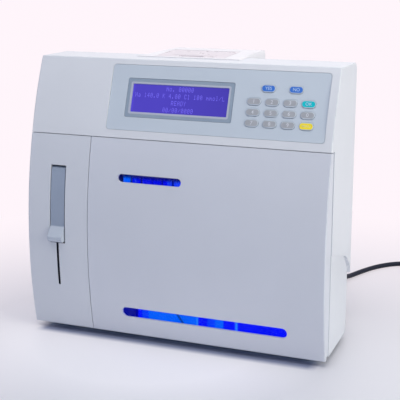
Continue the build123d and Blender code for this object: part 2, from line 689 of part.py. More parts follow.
def electrode_holder():
    """The open tray and end stops that press the electrodes together, with its thumb screw."""
    wall = HOLDER_WALL
    x0, x1 = STACK_LEFT - wall - FIT, stack_right() + 3 * wall
    y1 = back(PLATE_DEPTH)
    z0, z1 = STACK_BOTTOM - wall, STACK_BOTTOM + ELECTRODE_HEIGHT + wall
    front = back(ELECTRODE_BACK - ELECTRODE_DEPTH)
    light_y = back(ELECTRODE_BACK + FIT + LIGHT_THICK)
    body = block(x0, x1, light_y, y1, z0, z1)
    body += block(x0, x1, front, y1, z0, STACK_BOTTOM)
    body += block(x0, x0 + wall, front, y1, z0, z1)
    body += block(x1 - wall, x1, front, y1, z0, z1)
    middle_y = back(ELECTRODE_BACK - ELECTRODE_DEPTH / 2)
    middle_z = STACK_BOTTOM + ELECTRODE_HEIGHT / 2
    body += rod_x(3, stack_right(), x1, middle_y, middle_z)
    body += rod_x(7, x1, x1 + 9, middle_y, middle_z)
    return body


def electrode(index):
    """One flow-through electrode block, with its terminal on top and its flow port."""
    x0 = STACK_LEFT + index * ELECTRODE_PITCH
    x1 = x0 + ELECTRODE_PITCH - ELECTRODE_GAP
    y1 = back(ELECTRODE_BACK)
    y0 = y1 - ELECTRODE_DEPTH
    z0, z1 = STACK_BOTTOM, STACK_BOTTOM + ELECTRODE_HEIGHT
    body = block(x0, x1, y0, y1, z0, z1)
    body = fillet(body.edges().filter_by(Axis.X), 2)
    body -= rod_x(1, x0 - 1, x1 + 1, (y0 + y1) / 2, (z0 + z1) / 2)
    return body + rod_z(3.5, z1, z1 + 5, (x0 + x1) / 2, (y0 + y1) / 2)


def ion_electrodes():
    return Compound([electrode(index) for index in range(ELECTRODES - 1)])


def reference_electrode():
    """The last electrode of the stack, with the taller filling chamber."""
    body = electrode(ELECTRODES - 1)
    x = STACK_LEFT + (ELECTRODES - 0.5) * ELECTRODE_PITCH - ELECTRODE_GAP / 2
    y = back(ELECTRODE_BACK - ELECTRODE_DEPTH / 2)
    top = STACK_BOTTOM + ELECTRODE_HEIGHT
    return body + rod_z(5, top, top + 14, x, y)


def light_bars():
    """The blue lamp strips behind the two windows."""
    y = back(ELECTRODE_BACK + FIT)
    upper = block(STACK_LEFT, stack_right(), y, y + LIGHT_THICK, UPPER_WINDOW[2] - 2, UPPER_WINDOW[3] + 2)
    x0, x1, z0, z1 = LOWER_WINDOW
    y = back(PLATE_DEPTH)
    lower = block(x0 + 16, x1, y - LIGHT_THICK, y, z0 - 8, z1 + 8)
    return Compound([upper, lower])


def pump_head():
    """The pump's C-shaped track block, open at the bottom for the tube's two ends."""
    half = PUMP_HEAD_SIZE / 2
    y1 = back(PLATE_DEPTH)
    y0 = y1 - PUMP_HEAD_DEPTH
    head = block(PUMP_X - half, PUMP_X + half, y0, y1, PUMP_Z - half * 0.6, PUMP_Z + half)
    head = fillet(head.edges().filter_by(Axis.Y).group_by(Axis.Z)[-1], 10)
    head -= rod_y(PUMP_TRACK, y0 - 1, y1 - 2, PUMP_X, PUMP_Z)
    head -= block(PUMP_X - PUMP_TRACK, PUMP_X + PUMP_TRACK, y0 - 1, y1 - 2, 0, PUMP_Z)
    return head - rod_y(MOTOR_SHAFT + 2, y0, y1 + 1, PUMP_X, PUMP_Z)


def pump_motor():
    """The geared motor behind the plate."""
    y0 = back(PLATE_DEPTH + PLATE)
    motor = rod_y(MOTOR_RADIUS, y0, y0 + MOTOR_LENGTH, PUMP_X, PUMP_Z)
    motor = chamfer(motor.edges().sort_by(Axis.Y)[-1], 2)
    motor += rod_y(8, y0 + MOTOR_LENGTH, y0 + MOTOR_LENGTH + 4, PUMP_X, PUMP_Z)
    return motor - rod_y(MOTOR_SHAFT + PIN_FIT, y0 - 1, y0 + 12, PUMP_X, PUMP_Z)


def roller_place(index):
    angle = radians(90 + index * 360 / ROLLERS)
    return PUMP_X + ROLLER_ORBIT * cos(angle), PUMP_Z + ROLLER_ORBIT * sin(angle)


def pump_rotor():
    """The rotor: two discs, the rollers' pins, the drive shaft and the centre cap."""
    y0, y1 = rotor_span()
    disc = ROLLER_ORBIT + ROLLER_RADIUS - 1.5
    rotor = rod_y(disc, y1 - 2, y1, PUMP_X, PUMP_Z)
    rotor += rod_y(disc, y0, y0 + 2, PUMP_X, PUMP_Z)
    rotor += rod_y(7, y0 - 3, y1, PUMP_X, PUMP_Z)
    rotor += rod_y(MOTOR_SHAFT, y1, back(PLATE_DEPTH + PLATE) + 10, PUMP_X, PUMP_Z)
    for index in range(ROLLERS):
        x, z = roller_place(index)
        rotor += rod_y(1.5, y0, y1, x, z)
    return rotor


def pump_roller(index):
    x, z = roller_place(index)
    y0, y1 = rotor_span()
    roller = rod_y(ROLLER_RADIUS, y0 + 2 + FIT, y1 - 2 - FIT, x, z)
    return roller - rod_y(1.5 + PIN_FIT, y0, y1, x, z)


def tube_reach():
    """How far the squeezed tube's two legs stand from the pump's middle."""
    return PUMP_TRACK - TUBE_DIAMETER / 2 - TUBE_GAP


def rotor_span():
    """The Y of the rotor's front and rear faces."""
    rear = back(PLATE_DEPTH) - ROTOR_GAP
    return rear - PUMP_HEAD_DEPTH + ROTOR_GAP + 1, rear


def tube(path):
    return sweep(Plane(path @ 0, z_dir=path % 0) * Circle(TUBE_DIAMETER / 2), path)


def bent_tube(places):
    """A tube in the tubes' common plane, through (X, height) places, with rounded bends."""
    y = sum(rotor_span()) / 2
    return tube(FilletPolyline([(x, y, z) for x, z in places], radius=TUBE_BEND))


def fluid_tubing():
    """The squeeze tube with its legs, and the waste tube from the electrodes through the valve."""
    track = tube_reach()
    y = sum(rotor_span()) / 2
    down = PUMP_Z - PACK_TOP
    left, right = (PUMP_X - track, y, PUMP_Z), (PUMP_X + track, y, PUMP_Z)
    leg_left = Line((left[0], y, PUMP_Z - down), left)
    over = ThreePointArc(left, (PUMP_X, y, PUMP_Z + track), right)
    leg_right = Line(right, (right[0], y, PUMP_Z - down))
    squeeze = tube(Wire([leg_left, over, leg_right]))
    neck_x = neck_place(3)
    foot, head = VALVE_Z - VALVE_SIZE / 2, VALVE_Z + VALVE_SIZE / 2
    lower = bent_tube([(neck_x, PACK_TOP), (neck_x, PACK_TOP + 14), (VALVE_X, foot - 14), (VALVE_X, foot)])
    x, top = VALVE_X - 6, STACK_BOTTOM - HOLDER_WALL
    upper = bent_tube([(x, head), (x, head + 8), (x - 8, top - 8), (x - 8, top)])
    return Compound([squeeze, lower, upper])


def pinch_valve():
    """The solenoid of the pinch valve, with its slotted nose."""
    half = VALVE_SIZE / 2
    y1 = back(PLATE_DEPTH)
    y0 = y1 - VALVE_LENGTH
    body = block(VALVE_X - half, VALVE_X + half, y0 + 6, y1, VALVE_Z - half, VALVE_Z + half)
    body = fillet(body.edges().filter_by(Axis.Y), 2)
    body += rod_y(half - 3, y0, y0 + 6, VALVE_X, VALVE_Z)
    body -= rod_y(PLUNGER_RADIUS + FIT, y0 - 1, y1 - 6, VALVE_X, VALVE_Z)
    return body


def valve_plunger():
    y1 = back(PLATE_DEPTH)
    y0 = y1 - VALVE_LENGTH
    rod = rod_y(PLUNGER_RADIUS, y0 - 3, y1 - 6 - PLUNGER_TRAVEL - FIT, VALVE_X, VALVE_Z)
    return rod + rod_y(PLUNGER_RADIUS + 2, y0 - 5, y0 - 3, VALVE_X, VALVE_Z)


def neck_place(index):
    """The X of one of the pack's bottle necks; the first two stand under the pump's tube."""
    return PUMP_X + tube_reach() * (1 - 2 * index)


def reagent_pack():
    """The lift-out reagent and waste pack, with a carrying ridge and four bottle necks."""
    z0 = FOOT_HEIGHT + PAN
    pack = block(PACK_LEFT, PACK_RIGHT, back(PACK_FRONT), back(PACK_BACK), z0, PACK_TOP - 8)
    pack = fillet(pack.edges().filter_by(Axis.Z), 4)
    pack = fillet(pack.edges().group_by(Axis.Z)[-1], 2)
    neck_y = sum(rotor_span()) / 2
    for index in range(4):
        pack += rod_z(NECK_RADIUS, PACK_TOP - 8, PACK_TOP, neck_place(index), neck_y)
    return pack


def main_board():
    """The controller board on standoffs, with its chips, capacitors and a finned cooler."""
    y = back(MAIN_BOARD_DEPTH)
    x0, z0 = MAIN_BOARD_LEFT, MAIN_BOARD_LOW
    x1, z1 = x0 + MAIN_BOARD_WIDE, z0 + MAIN_BOARD_TALL
    face = y + BOARD
    board = block(x0, x1, y, face, z0, z1)
    for x in (x0 + MAIN_BOARD_INSET, x1 - MAIN_BOARD_INSET):
        for z in (z0 + MAIN_BOARD_INSET, z1 - MAIN_BOARD_INSET):
            board += rod_y(3, back(PLATE_DEPTH + PLATE), y, x, z)
    for along, up, wide, tall, thick in CHIPS:
        board += Pos(x0 + along, face + thick / 2, z0 + up) * Box(wide, thick, tall)
    for index in range(4):
        board += rod_y(4, face, face + 10, x0 + 26 + index * 12, z0 + 44)
    board += block(x1 - 34, x1 - 14, face, face + 3, z1 - 38, z1 - 14)
    for index in range(5):
        x = x1 - 34 + index * 4.6
        board += block(x, x + 1.6, face + 3, face + 11, z1 - 38, z1 - 14)
    return board


def power_supply():
    """The caged power supply on the floor pan."""
    wide, deep, tall = SUPPLY_SIZE
    z0 = FOOT_HEIGHT + PAN
    y0 = back(CASING_END - SUPPLY_GAP) - deep
    cage = block(-wide / 2 - 20, wide / 2 - 20, y0, y0 + deep, z0, z0 + tall)
    cage = fillet(cage.edges().filter_by(Axis.X).group_by(Axis.Z)[-1], 3)
    for index in range(12):
        x = -wide / 2 - 8 + index * 11.0
        cage -= block(x, x + 4, y0 + 8, y0 + deep - 8, z0 + tall - 1.5, z0 + tall + 1)
    return cage


def cooling_fan():
    """The fan's square frame with its round duct and three motor struts."""
    half = FAN_SIZE / 2
    y1 = back(CASING_END)
    y0 = y1 - FAN_THICK
    frame = block(FAN_X - half, FAN_X + half, y0, y1, FAN_Z - half, FAN_Z + half)
    frame = fillet(frame.edges().filter_by(Axis.Y), 4)
    frame -= rod_y(half - 1.5, y0 - 1, y1 + 1, FAN_X, FAN_Z)
    for angle in (90, 210, 330):
        strut = Pos(FAN_X, y0 + 1.5, FAN_Z) * Rot(0, angle, 0) * Pos(half / 2, 0, 0) * Box(half - 1, 3, 3)
        frame += strut
    frame += rod_y(FAN_HUB, y0, y0 + 3, FAN_X, FAN_Z)
    frame += rod_y(2.2, y0 + 3, y0 + 9, FAN_X, FAN_Z)
    return frame


def fan_rotor():
    """The fan's hub and its pitched blades."""
    y0 = back(CASING_END) - FAN_THICK + 3 + FIT
    length = FAN_THICK - 3 - 2 * FIT - 1
    rotor = rod_y(FAN_HUB, y0, y0 + length, FAN_X, FAN_Z)
    tip = FAN_SIZE / 2 - 1.5 - 1.0
    for index in range(FAN_BLADES):
        blade = Box(tip - FAN_HUB + 2, 1.4, 14)
        pitched = Pos((tip + FAN_HUB - 2) / 2, 0, 0) * Rot(55, 0, 0) * blade
        turn = Pos(FAN_X, y0 + length / 2, FAN_Z) * Rot(0, index * 360 / FAN_BLADES, 0)
        rotor += turn * pitched
    rotor &= rod_y(tip, y0, y0 + length, FAN_X, FAN_Z)
    return rotor - rod_y(2.2 + PIN_FIT, y0 - 1, y0 + 9, FAN_X, FAN_Z)


def inlet_body(grow=0.0):
    """The block of the inlet module that passes through the rear panel."""
    wide = INLET_WIDTH - 6 + 2 * grow
    tall = INLET_HEIGHT - 6 + 2 * grow
    x0, x1 = INLET_X - wide / 2, INLET_X + wide / 2
    z0 = INLET_Z - INLET_LOW + 3 - grow
    return block(x0, x1, back(CASING_END - INLET_DEEP), back(DEPTH), z0, z0 + tall)


def switch_middle():
    return INLET_Z + 28.0


def nose_block(deep, out, grow=0.0):
    """The block of the connector's nose, or of the hole that takes it."""
    wide, long, tall = PLUG_BODY
    middle = back(DEPTH + INLET_PROUD) + (out - deep) / 2
    nose = Box(wide - 4 + 2 * grow, deep + out, tall - 4 + 2 * grow)
    return Pos(INLET_X, middle, INLET_Z) * nose


def power_inlet():
    """The mains inlet with the switch's frame over it."""
    half, z0 = INLET_WIDTH / 2, INLET_Z - INLET_LOW
    mouth = back(DEPTH + INLET_PROUD)
    body = inlet_body()
    flange = block(INLET_X - half, INLET_X + half, back(DEPTH), mouth, z0, z0 + INLET_HEIGHT)
    body += fillet(flange.edges().filter_by(Axis.Y), 2)
    body -= nose_block(NOSE_LENGTH + 1, 1, FIT)
    for x in (-7, 0, 7):
        body += block(INLET_X + x - 1, INLET_X + x + 1, mouth - 17, mouth - 4, INLET_Z - 2, INLET_Z + 2)
    z = switch_middle()
    half = SWITCH_LENGTH / 2 + SWITCH_GAP
    tall = SWITCH_WIDTH / 2 + SWITCH_GAP
    return body - block(INLET_X - half, INLET_X + half, mouth - 14, mouth + 1, z - tall, z + tall)


def switch_rocker():
    """The rocker, tipped to one side in its frame about an upright pivot."""
    mouth = back(DEPTH + INLET_PROUD)
    half = SWITCH_LENGTH / 2
    low, high, dip = SWITCH_PIVOT - 10.0, SWITCH_PIVOT - 1.4, SWITCH_PIVOT - 3.6
    corners = [(-half, low), (-half, high), (0, dip), (half, high), (half, low)]
    outline = make_face(Polyline(corners, close=True))
    pivot = Plane((INLET_X, mouth - SWITCH_PIVOT, switch_middle()), (1, 0, 0), (0, 0, 1))
    return pivot * Rot(0, 0, -SWITCH_TILT / 2) * extrude(outline, SWITCH_WIDTH / 2, both=True)


def ramp_height(depth):
    """The height of the printer's ramp at a depth."""
    share = (depth - PRINTER_START) / (RAMP_END - PRINTER_START)
    return TOP + PRINTER_LIP + share * (PRINTER_RISE - PRINTER_LIP)


def printer_housing():
    """The raised surround on the top, ramped in front, and the tub for the paper roll under it."""
    z0, z1 = CASING_TOP - CASING_TAPER, TOP + PRINTER_RISE
    y0, y1 = back(PRINTER_START), back(PRINTER_END)
    corners = [(PRINTER_LEFT, z0), (PRINTER_LEFT, TOP), (PRINTER_LEFT + PRINTER_SLOPE, z1)]
    corners += [(PRINTER_RIGHT - 1, z1), (PRINTER_RIGHT, TOP), (PRINTER_RIGHT, z0)]
    outline = make_face(Polyline(corners, close=True))
    rim = Plane((0, y1, 0), (1, 0, 0), (0, -1, 0)) * extrude(outline, y1 - y0)
    rim -= case_block()
    rim -= hood_block()
    low = z1 - TUB_DEEP
    x0, x1 = LID_LEFT - TUB_WALL, LID_RIGHT + TUB_WALL
    body = rim + block(x0, x1, back(LID_START), back(LID_END + TUB_WALL), low, z1)
    front = PRINTER_START - 9
    above = [(front, ramp_height(front)), (RAMP_END, z1), (RAMP_END, z1 + 9), (front, z1 + 9)]
    body -= Pos(-HALF, 0, 0) * extrude(side_profile(above), WIDTH)
    inner = LID_START + TUB_WALL
    body -= block(LID_LEFT, LID_RIGHT, back(inner), back(LID_END), low + TUB_WALL, z1 + 1)
    seat = ramp_height(LID_START) - LID_THICK - SLIDE_FIT
    body -= block(LID_LEFT, LID_RIGHT, back(LID_START), back(inner + 1), seat, z1 + 1)
    roll_y, roll_z = back(ROLL_DEPTH), z1 - ROLL_DROP
    middle = (LID_LEFT + LID_RIGHT) / 2
    reach = (LID_RIGHT - LID_LEFT) / 2
    for x0, x1 in ((LID_LEFT, middle - ROLL_WIDTH / 2 - 1), (middle + ROLL_WIDTH / 2 + 1, LID_RIGHT)):
        body += block(x0, x1, roll_y - CHEEK_HALF, roll_y + CHEEK_HALF, low, z1 - CHEEK_DROP)
    body += rod_x(ROLL_CORE - SLIDE_FIT, middle - reach, middle + reach, roll_y, roll_z)
    body -= lid_pins(FIT)
    return body


def lid_hinge():
    """The depth and height of the lid's hinge line."""
    return LID_END - LID_AXIS, TOP + PRINTER_RISE - LID_BARREL


def lid_pins(grow=0.0):
    depth, z = lid_hinge()
    pins = rod_x(1.5 + grow, LID_LEFT - 1.6 - grow, LID_LEFT + 6, back(depth), z)
    return pins + rod_x(1.5 + grow, LID_RIGHT - 6, LID_RIGHT + 1.6 + grow, back(depth), z)


def printer_cover():
    """The paper lid along the ramp, with its hinge barrel, a pull at the front and the paper slot."""
    x0, x1 = LID_LEFT + SLIDE_FIT, LID_RIGHT - SLIDE_FIT
    depth, hinge_z = lid_hinge()
    front = LID_START + SLIDE_FIT
    z0, z1 = ramp_height(front), TOP + PRINTER_RISE
    corners = [(front, z0), (RAMP_END, z1), (depth, z1), (depth, z1 - LID_THICK)]
    corners += [(RAMP_END, z1 - LID_THICK), (front, z0 - LID_THICK)]
    lid = Pos(x0, 0, 0) * extrude(side_profile(corners), x1 - x0)
    lid += rod_x(LID_BARREL, x0, x1, back(depth), hinge_z)
    lid += lid_pins()
    middle = (LID_LEFT + LID_RIGHT) / 2
    pull = ramp_height(LID_START + 9) - 1.2
    lid -= block(middle - 16, middle + 16, back(LID_START + 3), back(LID_START + 9), pull, z1)
    y = back(PLATEN_DEPTH + PLATEN_RADIUS)
    half = ROLL_WIDTH / 2 + 1
    return lid - block(middle - half, middle + half, y, y + PAPER_SLOT, TOP - 9, z1)


def paper_roll():
    middle = (LID_LEFT + LID_RIGHT) / 2
    z = TOP + PRINTER_RISE - ROLL_DROP
    y = back(ROLL_DEPTH)
    roll = rod_x(ROLL_RADIUS, middle - ROLL_WIDTH / 2, middle + ROLL_WIDTH / 2, y, z)
    return roll - rod_x(ROLL_CORE, middle - ROLL_WIDTH, middle + ROLL_WIDTH, y, z)


def printer_mechanism():
    """The thermal head's block and the two cheeks that carry the platen."""
    middle = (LID_LEFT + LID_RIGHT) / 2
    half = ROLL_WIDTH / 2 + 6
    z1 = TOP + PRINTER_RISE
    y, z = back(PLATEN_DEPTH), z1 - PLATEN_DROP
    front = back(LID_START + TUB_WALL)
    low = z1 - TUB_DEEP + TUB_WALL
    cheeks = block(middle - half, middle - half + 4, front, y + 5, low, z + 3)
    cheeks += block(middle + half - 4, middle + half, front, y + 5, low, z + 3)
    body = cheeks + block(middle - half, middle + half, front, front + 3, low, z - 6)
    body += block(middle - half, middle + half, front, y + 4, z - 24, z - 6)
    return body - rod_x(1.5 + PIN_FIT, middle - half - 1, middle + half + 1, y, z)


def platen_roller():
    middle = (LID_LEFT + LID_RIGHT) / 2
    half = ROLL_WIDTH / 2 + 6
    y, z = back(PLATEN_DEPTH), TOP + PRINTER_RISE - PLATEN_DROP
    roller = rod_x(PLATEN_RADIUS, middle - half + 4 + SLIDE_FIT, middle + half - 4 - SLIDE_FIT, y, z)
    return roller + rod_x(1.5, middle - half, middle + half, y, z)


def panel_screws():
    """The six pan-head screws that hold the rear panel."""
    screws = []
    low, high = FOOT_HEIGHT + SCREW_INSET + 6, CASING_TOP - SCREW_INSET
    for x in (SCREW_INSET - CASING_HALF, CASING_HALF - SCREW_INSET):
        for z in (low, (low + high) / 2, high):
            head = rod_y(3.2, back(DEPTH), back(DEPTH + 2), x, z)
            screws.append(chamfer(head.edges().sort_by(Axis.Y)[-1], 0.8))
    return Compound(screws)


def cord_connector():
    """The moulded connector in the inlet, with its tapered strain relief."""
    wide, long, tall = PLUG_BODY
    mouth = back(DEPTH + INLET_PROUD)
    nose = nose_block(NOSE_LENGTH, 0)
    for offset in (-7, 0, 7):
        x = INLET_X + offset
        nose -= block(x - 1.4, x + 1.4, mouth - 16, mouth - 3, INLET_Z - 2.4, INLET_Z + 2.4)
    body = Pos(INLET_X, mouth + long / 2, INLET_Z) * Box(wide, long, tall)
    body = fillet(body.edges().filter_by(Axis.Y) + body.faces().sort_by(Axis.Y)[-1].edges(), 3)
    start = Plane((INLET_X, mouth + long - 1, INLET_Z), (1, 0, 0), (0, 1, 0))
    end = Plane((INLET_X, mouth + long + RELIEF, INLET_Z), (1, 0, 0), (0, 1, 0))
    relief = loft([start * Circle(7), end * Circle(CORD_DIAMETER / 2 + 1)])
    return nose + body + relief


CORD_START = back(DEPTH + INLET_PROUD) + PLUG_BODY[1] + RELIEF
CORD_ROUTE = [
    (INLET_X, CORD_START, INLET_Z),
    (INLET_X, CORD_START + 26.5, INLET_Z),
    (137.0, 210.0, 47.0),
    (136.0, 234.0, 20.5),
    (138.5, 262.0, 4.6),
    (146.0, 299.0, 3.7),
    (160.0, 335.0, 3.7),
    (184.0, 362.0, 3.7),
    (220.0, 374.0, 3.7),
    (256.0, 373.0, 3.7),
]
CORD_ARC = 0.45


def route_radii(points):
    """The largest arc that each corner of a route has room for."""
    radii = []
    for before, corner, after in zip(points, points[1:], points[2:]):
        arrive = Vector(*corner) - Vector(*before)
        leave = Vector(*after) - Vector(*corner)
        half_turn = radians(arrive.get_angle(leave)) / 2
        radii.append(CORD_ARC * min(arrive.length, leave.length) / tan(half_turn))
    return radii


def mains_cord():
    """The cord from the connector to the start of its coil."""
    radii = route_radii(CORD_ROUTE)
    print("cord radii", [round(radius) for radius in radii])
    path = FilletPolyline(*CORD_ROUTE, radius=radii)
    start = Plane(path @ 0, z_dir=path % 0)
    tube = sweep(start * Circle(CORD_DIAMETER / 2), path)
    print("cord length", round(path.length, 1), "volume share",
          round(tube.volume / (path.length * pi * CORD_DIAMETER ** 2 / 4), 4))
    return tube


def coil_arcs():
    """The coil's half turns, inward on the table, one climb, then outward on top, and its tail."""
    before, point = Vector(*CORD_ROUTE[-2]), Vector(*CORD_ROUTE[-1])
    travel = Vector(point.X - before.X, point.Y - before.Y, 0).normalized()
    radii = [COIL_OUTER - index * COIL_PITCH / 2 for index in range(COIL_HALF_TURNS)]
    steps = [(radius, 0.0) for radius in radii]
    steps.append((radii[-1] - COIL_CLIMB_TIGHTER, COIL_PITCH))
    steps += [(radius, 0.0) for radius in reversed(radii[1:])]
    arcs = []
    for radius, rise in steps:
        side = Vector(travel.Y, -travel.X, 0)
        end = point + side * (2 * radius) + Vector(0, 0, rise)
        middle = (point + end) * 0.5 + travel * (dist(tuple(point), tuple(end)) / 2)
        arcs.append(ThreePointArc(tuple(point), tuple(middle), tuple(end)))
        point = end
        travel = travel * -1
    side = Vector(travel.Y, -travel.X, 0)
    centre = point + side * COIL_OUTER
    end = centre + travel * COIL_OUTER
    middle = centre + (travel - side) * (COIL_OUTER / sqrt(2))
    arcs.append(ThreePointArc(tuple(point), tuple(middle), tuple(end)))
    arcs.append(Line(tuple(end), tuple(end + side * COIL_TAIL)))
    return arcs


def cord_coil():
    """The put-away length, wound as one unbroken tube."""
    arcs = coil_arcs()
    path = Wire(arcs)
    start = Plane(path @ 0, z_dir=path % 0)
    tube = sweep(start * Circle(CORD_DIAMETER / 2), path)
    print("coil length", round(path.length, 1), "volume share",
          round(tube.volume / (path.length * pi * CORD_DIAMETER ** 2 / 4), 4))
    print("least gap in the coil", round(coil_gap(path), 2))
    return tube


def coil_gap(path):
    """The least free gap between parts of the coil that are not neighbours along it."""
    count = 700
    places = [path.position_at(index / count) for index in range(count + 1)]
    step = path.length / count
    apart = ceil(4 * CORD_DIAMETER / step)
    least = FAR
    for index, place in enumerate(places):
        for other in places[index + apart:]:
            least = min(least, dist(tuple(place), tuple(other)))
    return least - CORD_DIAMETER


def mains_plug():
    """The moulded plug at the end of the coil, lying flat on the table."""
    arcs = coil_arcs()
    end = arcs[-1] @ 1
    travel = arcs[-1] % 1
    frame = Plane((end.X, end.Y, end.Z), (travel.Y, -travel.X, 0), (travel.X, travel.Y, 0))
    sleeve = loft([Circle(CORD_DIAMETER / 2 + 1), Pos(0, 0, 24) * Circle(6.5)])
    body = Pos(0, 0, 24) * extrude(RectangleRounded(34, 21, 5), 32)
    body = fillet(body.edges().group_by(Axis.Z)[-1], 2)
    blades = []
    for x, turn in ((-8, 30), (8, -30)):
        blades.append(Pos(x, 4, 56 + 8.5) * Rot(0, 0, turn) * Box(1.8, 6.4, 17))
    blades.append(Pos(0, -6, 56 + 10) * Box(1.8, 6.4, 20))
    return frame * (sleeve + body + blades[0] + blades[1] + blades[2])


def save(name, shape):
    export_step(shape, f"parts/{name}.step")


def main():
    os.makedirs("parts", exist_ok=True)
    makers = (
        base_plate, rubber_feet, main_cover, sampler_panel, rear_casing, rear_panel, overlay_panel,
        lcd_module, lcd_glass, keypad_board, front_door, door_windows, hinge_pins, sample_lever,
        sample_probe, module_plate, electrode_holder, ion_electrodes, reference_electrode, light_bars,
        pump_motor, pump_head, pump_rotor, fluid_tubing, pinch_valve, valve_plunger, reagent_pack,
        main_board, power_supply, cooling_fan, fan_rotor, power_inlet, switch_rocker, printer_housing,
        printer_cover, paper_roll, printer_mechanism, platen_roller, panel_screws, cord_connector,
        mains_cord, cord_coil, mains_plug,
    )
    for maker in makers:
        save(maker.__name__, maker())
    for index, (x, height) in enumerate(key_places(), 1):
        save(f"key_{index:02d}", key_cap(x, height))
    for index in range(ROLLERS):
        save(f"pump_roller_{index + 1}", pump_roller(index))


main()
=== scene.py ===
import json
from functools import partial
from math import atan2, cos, pi, radians, sin, sqrt

import bmesh
import bpy
from mathutils import Matrix, Vector


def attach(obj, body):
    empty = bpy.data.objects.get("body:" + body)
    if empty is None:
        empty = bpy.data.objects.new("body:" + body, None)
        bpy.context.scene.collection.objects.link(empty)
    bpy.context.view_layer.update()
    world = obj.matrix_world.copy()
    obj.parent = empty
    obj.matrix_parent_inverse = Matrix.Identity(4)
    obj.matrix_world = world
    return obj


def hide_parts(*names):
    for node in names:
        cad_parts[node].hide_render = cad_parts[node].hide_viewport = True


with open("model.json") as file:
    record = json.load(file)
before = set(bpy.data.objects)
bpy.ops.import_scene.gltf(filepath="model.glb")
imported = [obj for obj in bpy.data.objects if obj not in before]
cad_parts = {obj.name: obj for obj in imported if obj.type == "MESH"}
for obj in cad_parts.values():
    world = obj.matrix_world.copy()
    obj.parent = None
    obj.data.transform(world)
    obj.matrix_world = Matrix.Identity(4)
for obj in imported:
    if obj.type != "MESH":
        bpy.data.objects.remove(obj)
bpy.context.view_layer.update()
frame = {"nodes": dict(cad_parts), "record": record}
nodes = frame["nodes"]

# The looks of a bench-top electrolyte analyzer, its mains lead, print, floor and lamps.
# Sizes are in metres: X to the right of the front, Y to the rear, Z up from the table. Only the
# lead's route and coil are in millimetres, as in the part's source.
MM = 0.001

# The control panel's plane: the chord of the curved front between two heights, as in the CAD
FRONT_Y = -0.0975
FRONT_RADIUS = 0.5558
BULGE_Z = 0.1198
PANEL_LOW, PANEL_HIGH = 0.2658, 0.3430


def face_depth(z):
    """How deep the curved front lies at a height."""
    return FRONT_RADIUS - sqrt(FRONT_RADIUS ** 2 - (z - BULGE_Z) ** 2)


PANEL_TILT = atan2(face_depth(PANEL_HIGH) - face_depth(PANEL_LOW), PANEL_HIGH - PANEL_LOW)
PANEL_MID_Y = FRONT_Y + (face_depth(PANEL_HIGH) + face_depth(PANEL_LOW)) / 2
PANEL_MID_Z = (PANEL_LOW + PANEL_HIGH) / 2
PANEL_OUT = Vector((0, -cos(PANEL_TILT), sin(PANEL_TILT)))
PANEL_UP = Vector((0, sin(PANEL_TILT), cos(PANEL_TILT)))


def panel_rise(z):
    """How far up the panel's slope a height lies from the panel's middle."""
    return (z - PANEL_MID_Z) / cos(PANEL_TILT)


def panel_point(x, z, out=0.0):
    """A place on the panel by its x and height, raised from the panel's plane by out."""
    middle = Vector((x, PANEL_MID_Y, PANEL_MID_Z))
    return middle + PANEL_UP * panel_rise(z) + PANEL_OUT * out


def panel_matrix(x, z, out):
    """The turn and place of something that lies on the panel."""
    turn = Matrix((Vector((1, 0, 0)), PANEL_UP, PANEL_OUT)).transposed().to_4x4()
    return Matrix.Translation(panel_point(x, z, out)) @ turn


# The keys and the display on the panel
KEY_X, KEY_STEP_X = 0.095, 0.0221
KEY_Z, KEY_STEP_Z = 0.3076, 0.01215
KEY_COLUMNS, GRID_KEYS = 4, 12
TOP_KEY_X, TOP_KEY_STEP, TOP_KEY_Z = 0.1111, 0.0336, 0.3227
PRINT_HALF_WIDTH, PRINT_HALF_HEIGHT, PRINT_CORNER = 0.0078, 0.0035, 0.0033
LCD_X, LCD_Z = 0.0, 0.3045
LCD_HALF_WIDTH, LCD_HALF_HEIGHT = 0.0627, 0.0175
LCD_CORNER = 0.0018
RING = 0.0024

# The lever's pocket and its probe's slot in the sampler panel: low and high, left and right of the lever
LEVER_X = -0.1532
POCKET = (0.1200, 0.2180, -0.0103, 0.01085)
PROBE_SLOT = (0.0648, 0.1200, -0.00155, 0.00155)
# How far the painted shade reaches past the ends of the pocket and the slot, up and down
PAINTED_SHADE_LAP = 0.00015


def add_object(name, data):
    """A new object in the scene."""
    thing = bpy.data.objects.new(name, data)
    bpy.context.scene.collection.objects.link(thing)
    return thing


# Materials
BAND_CHANGE = 0.0004
BLACK = (0.0, 0.0, 0.0)


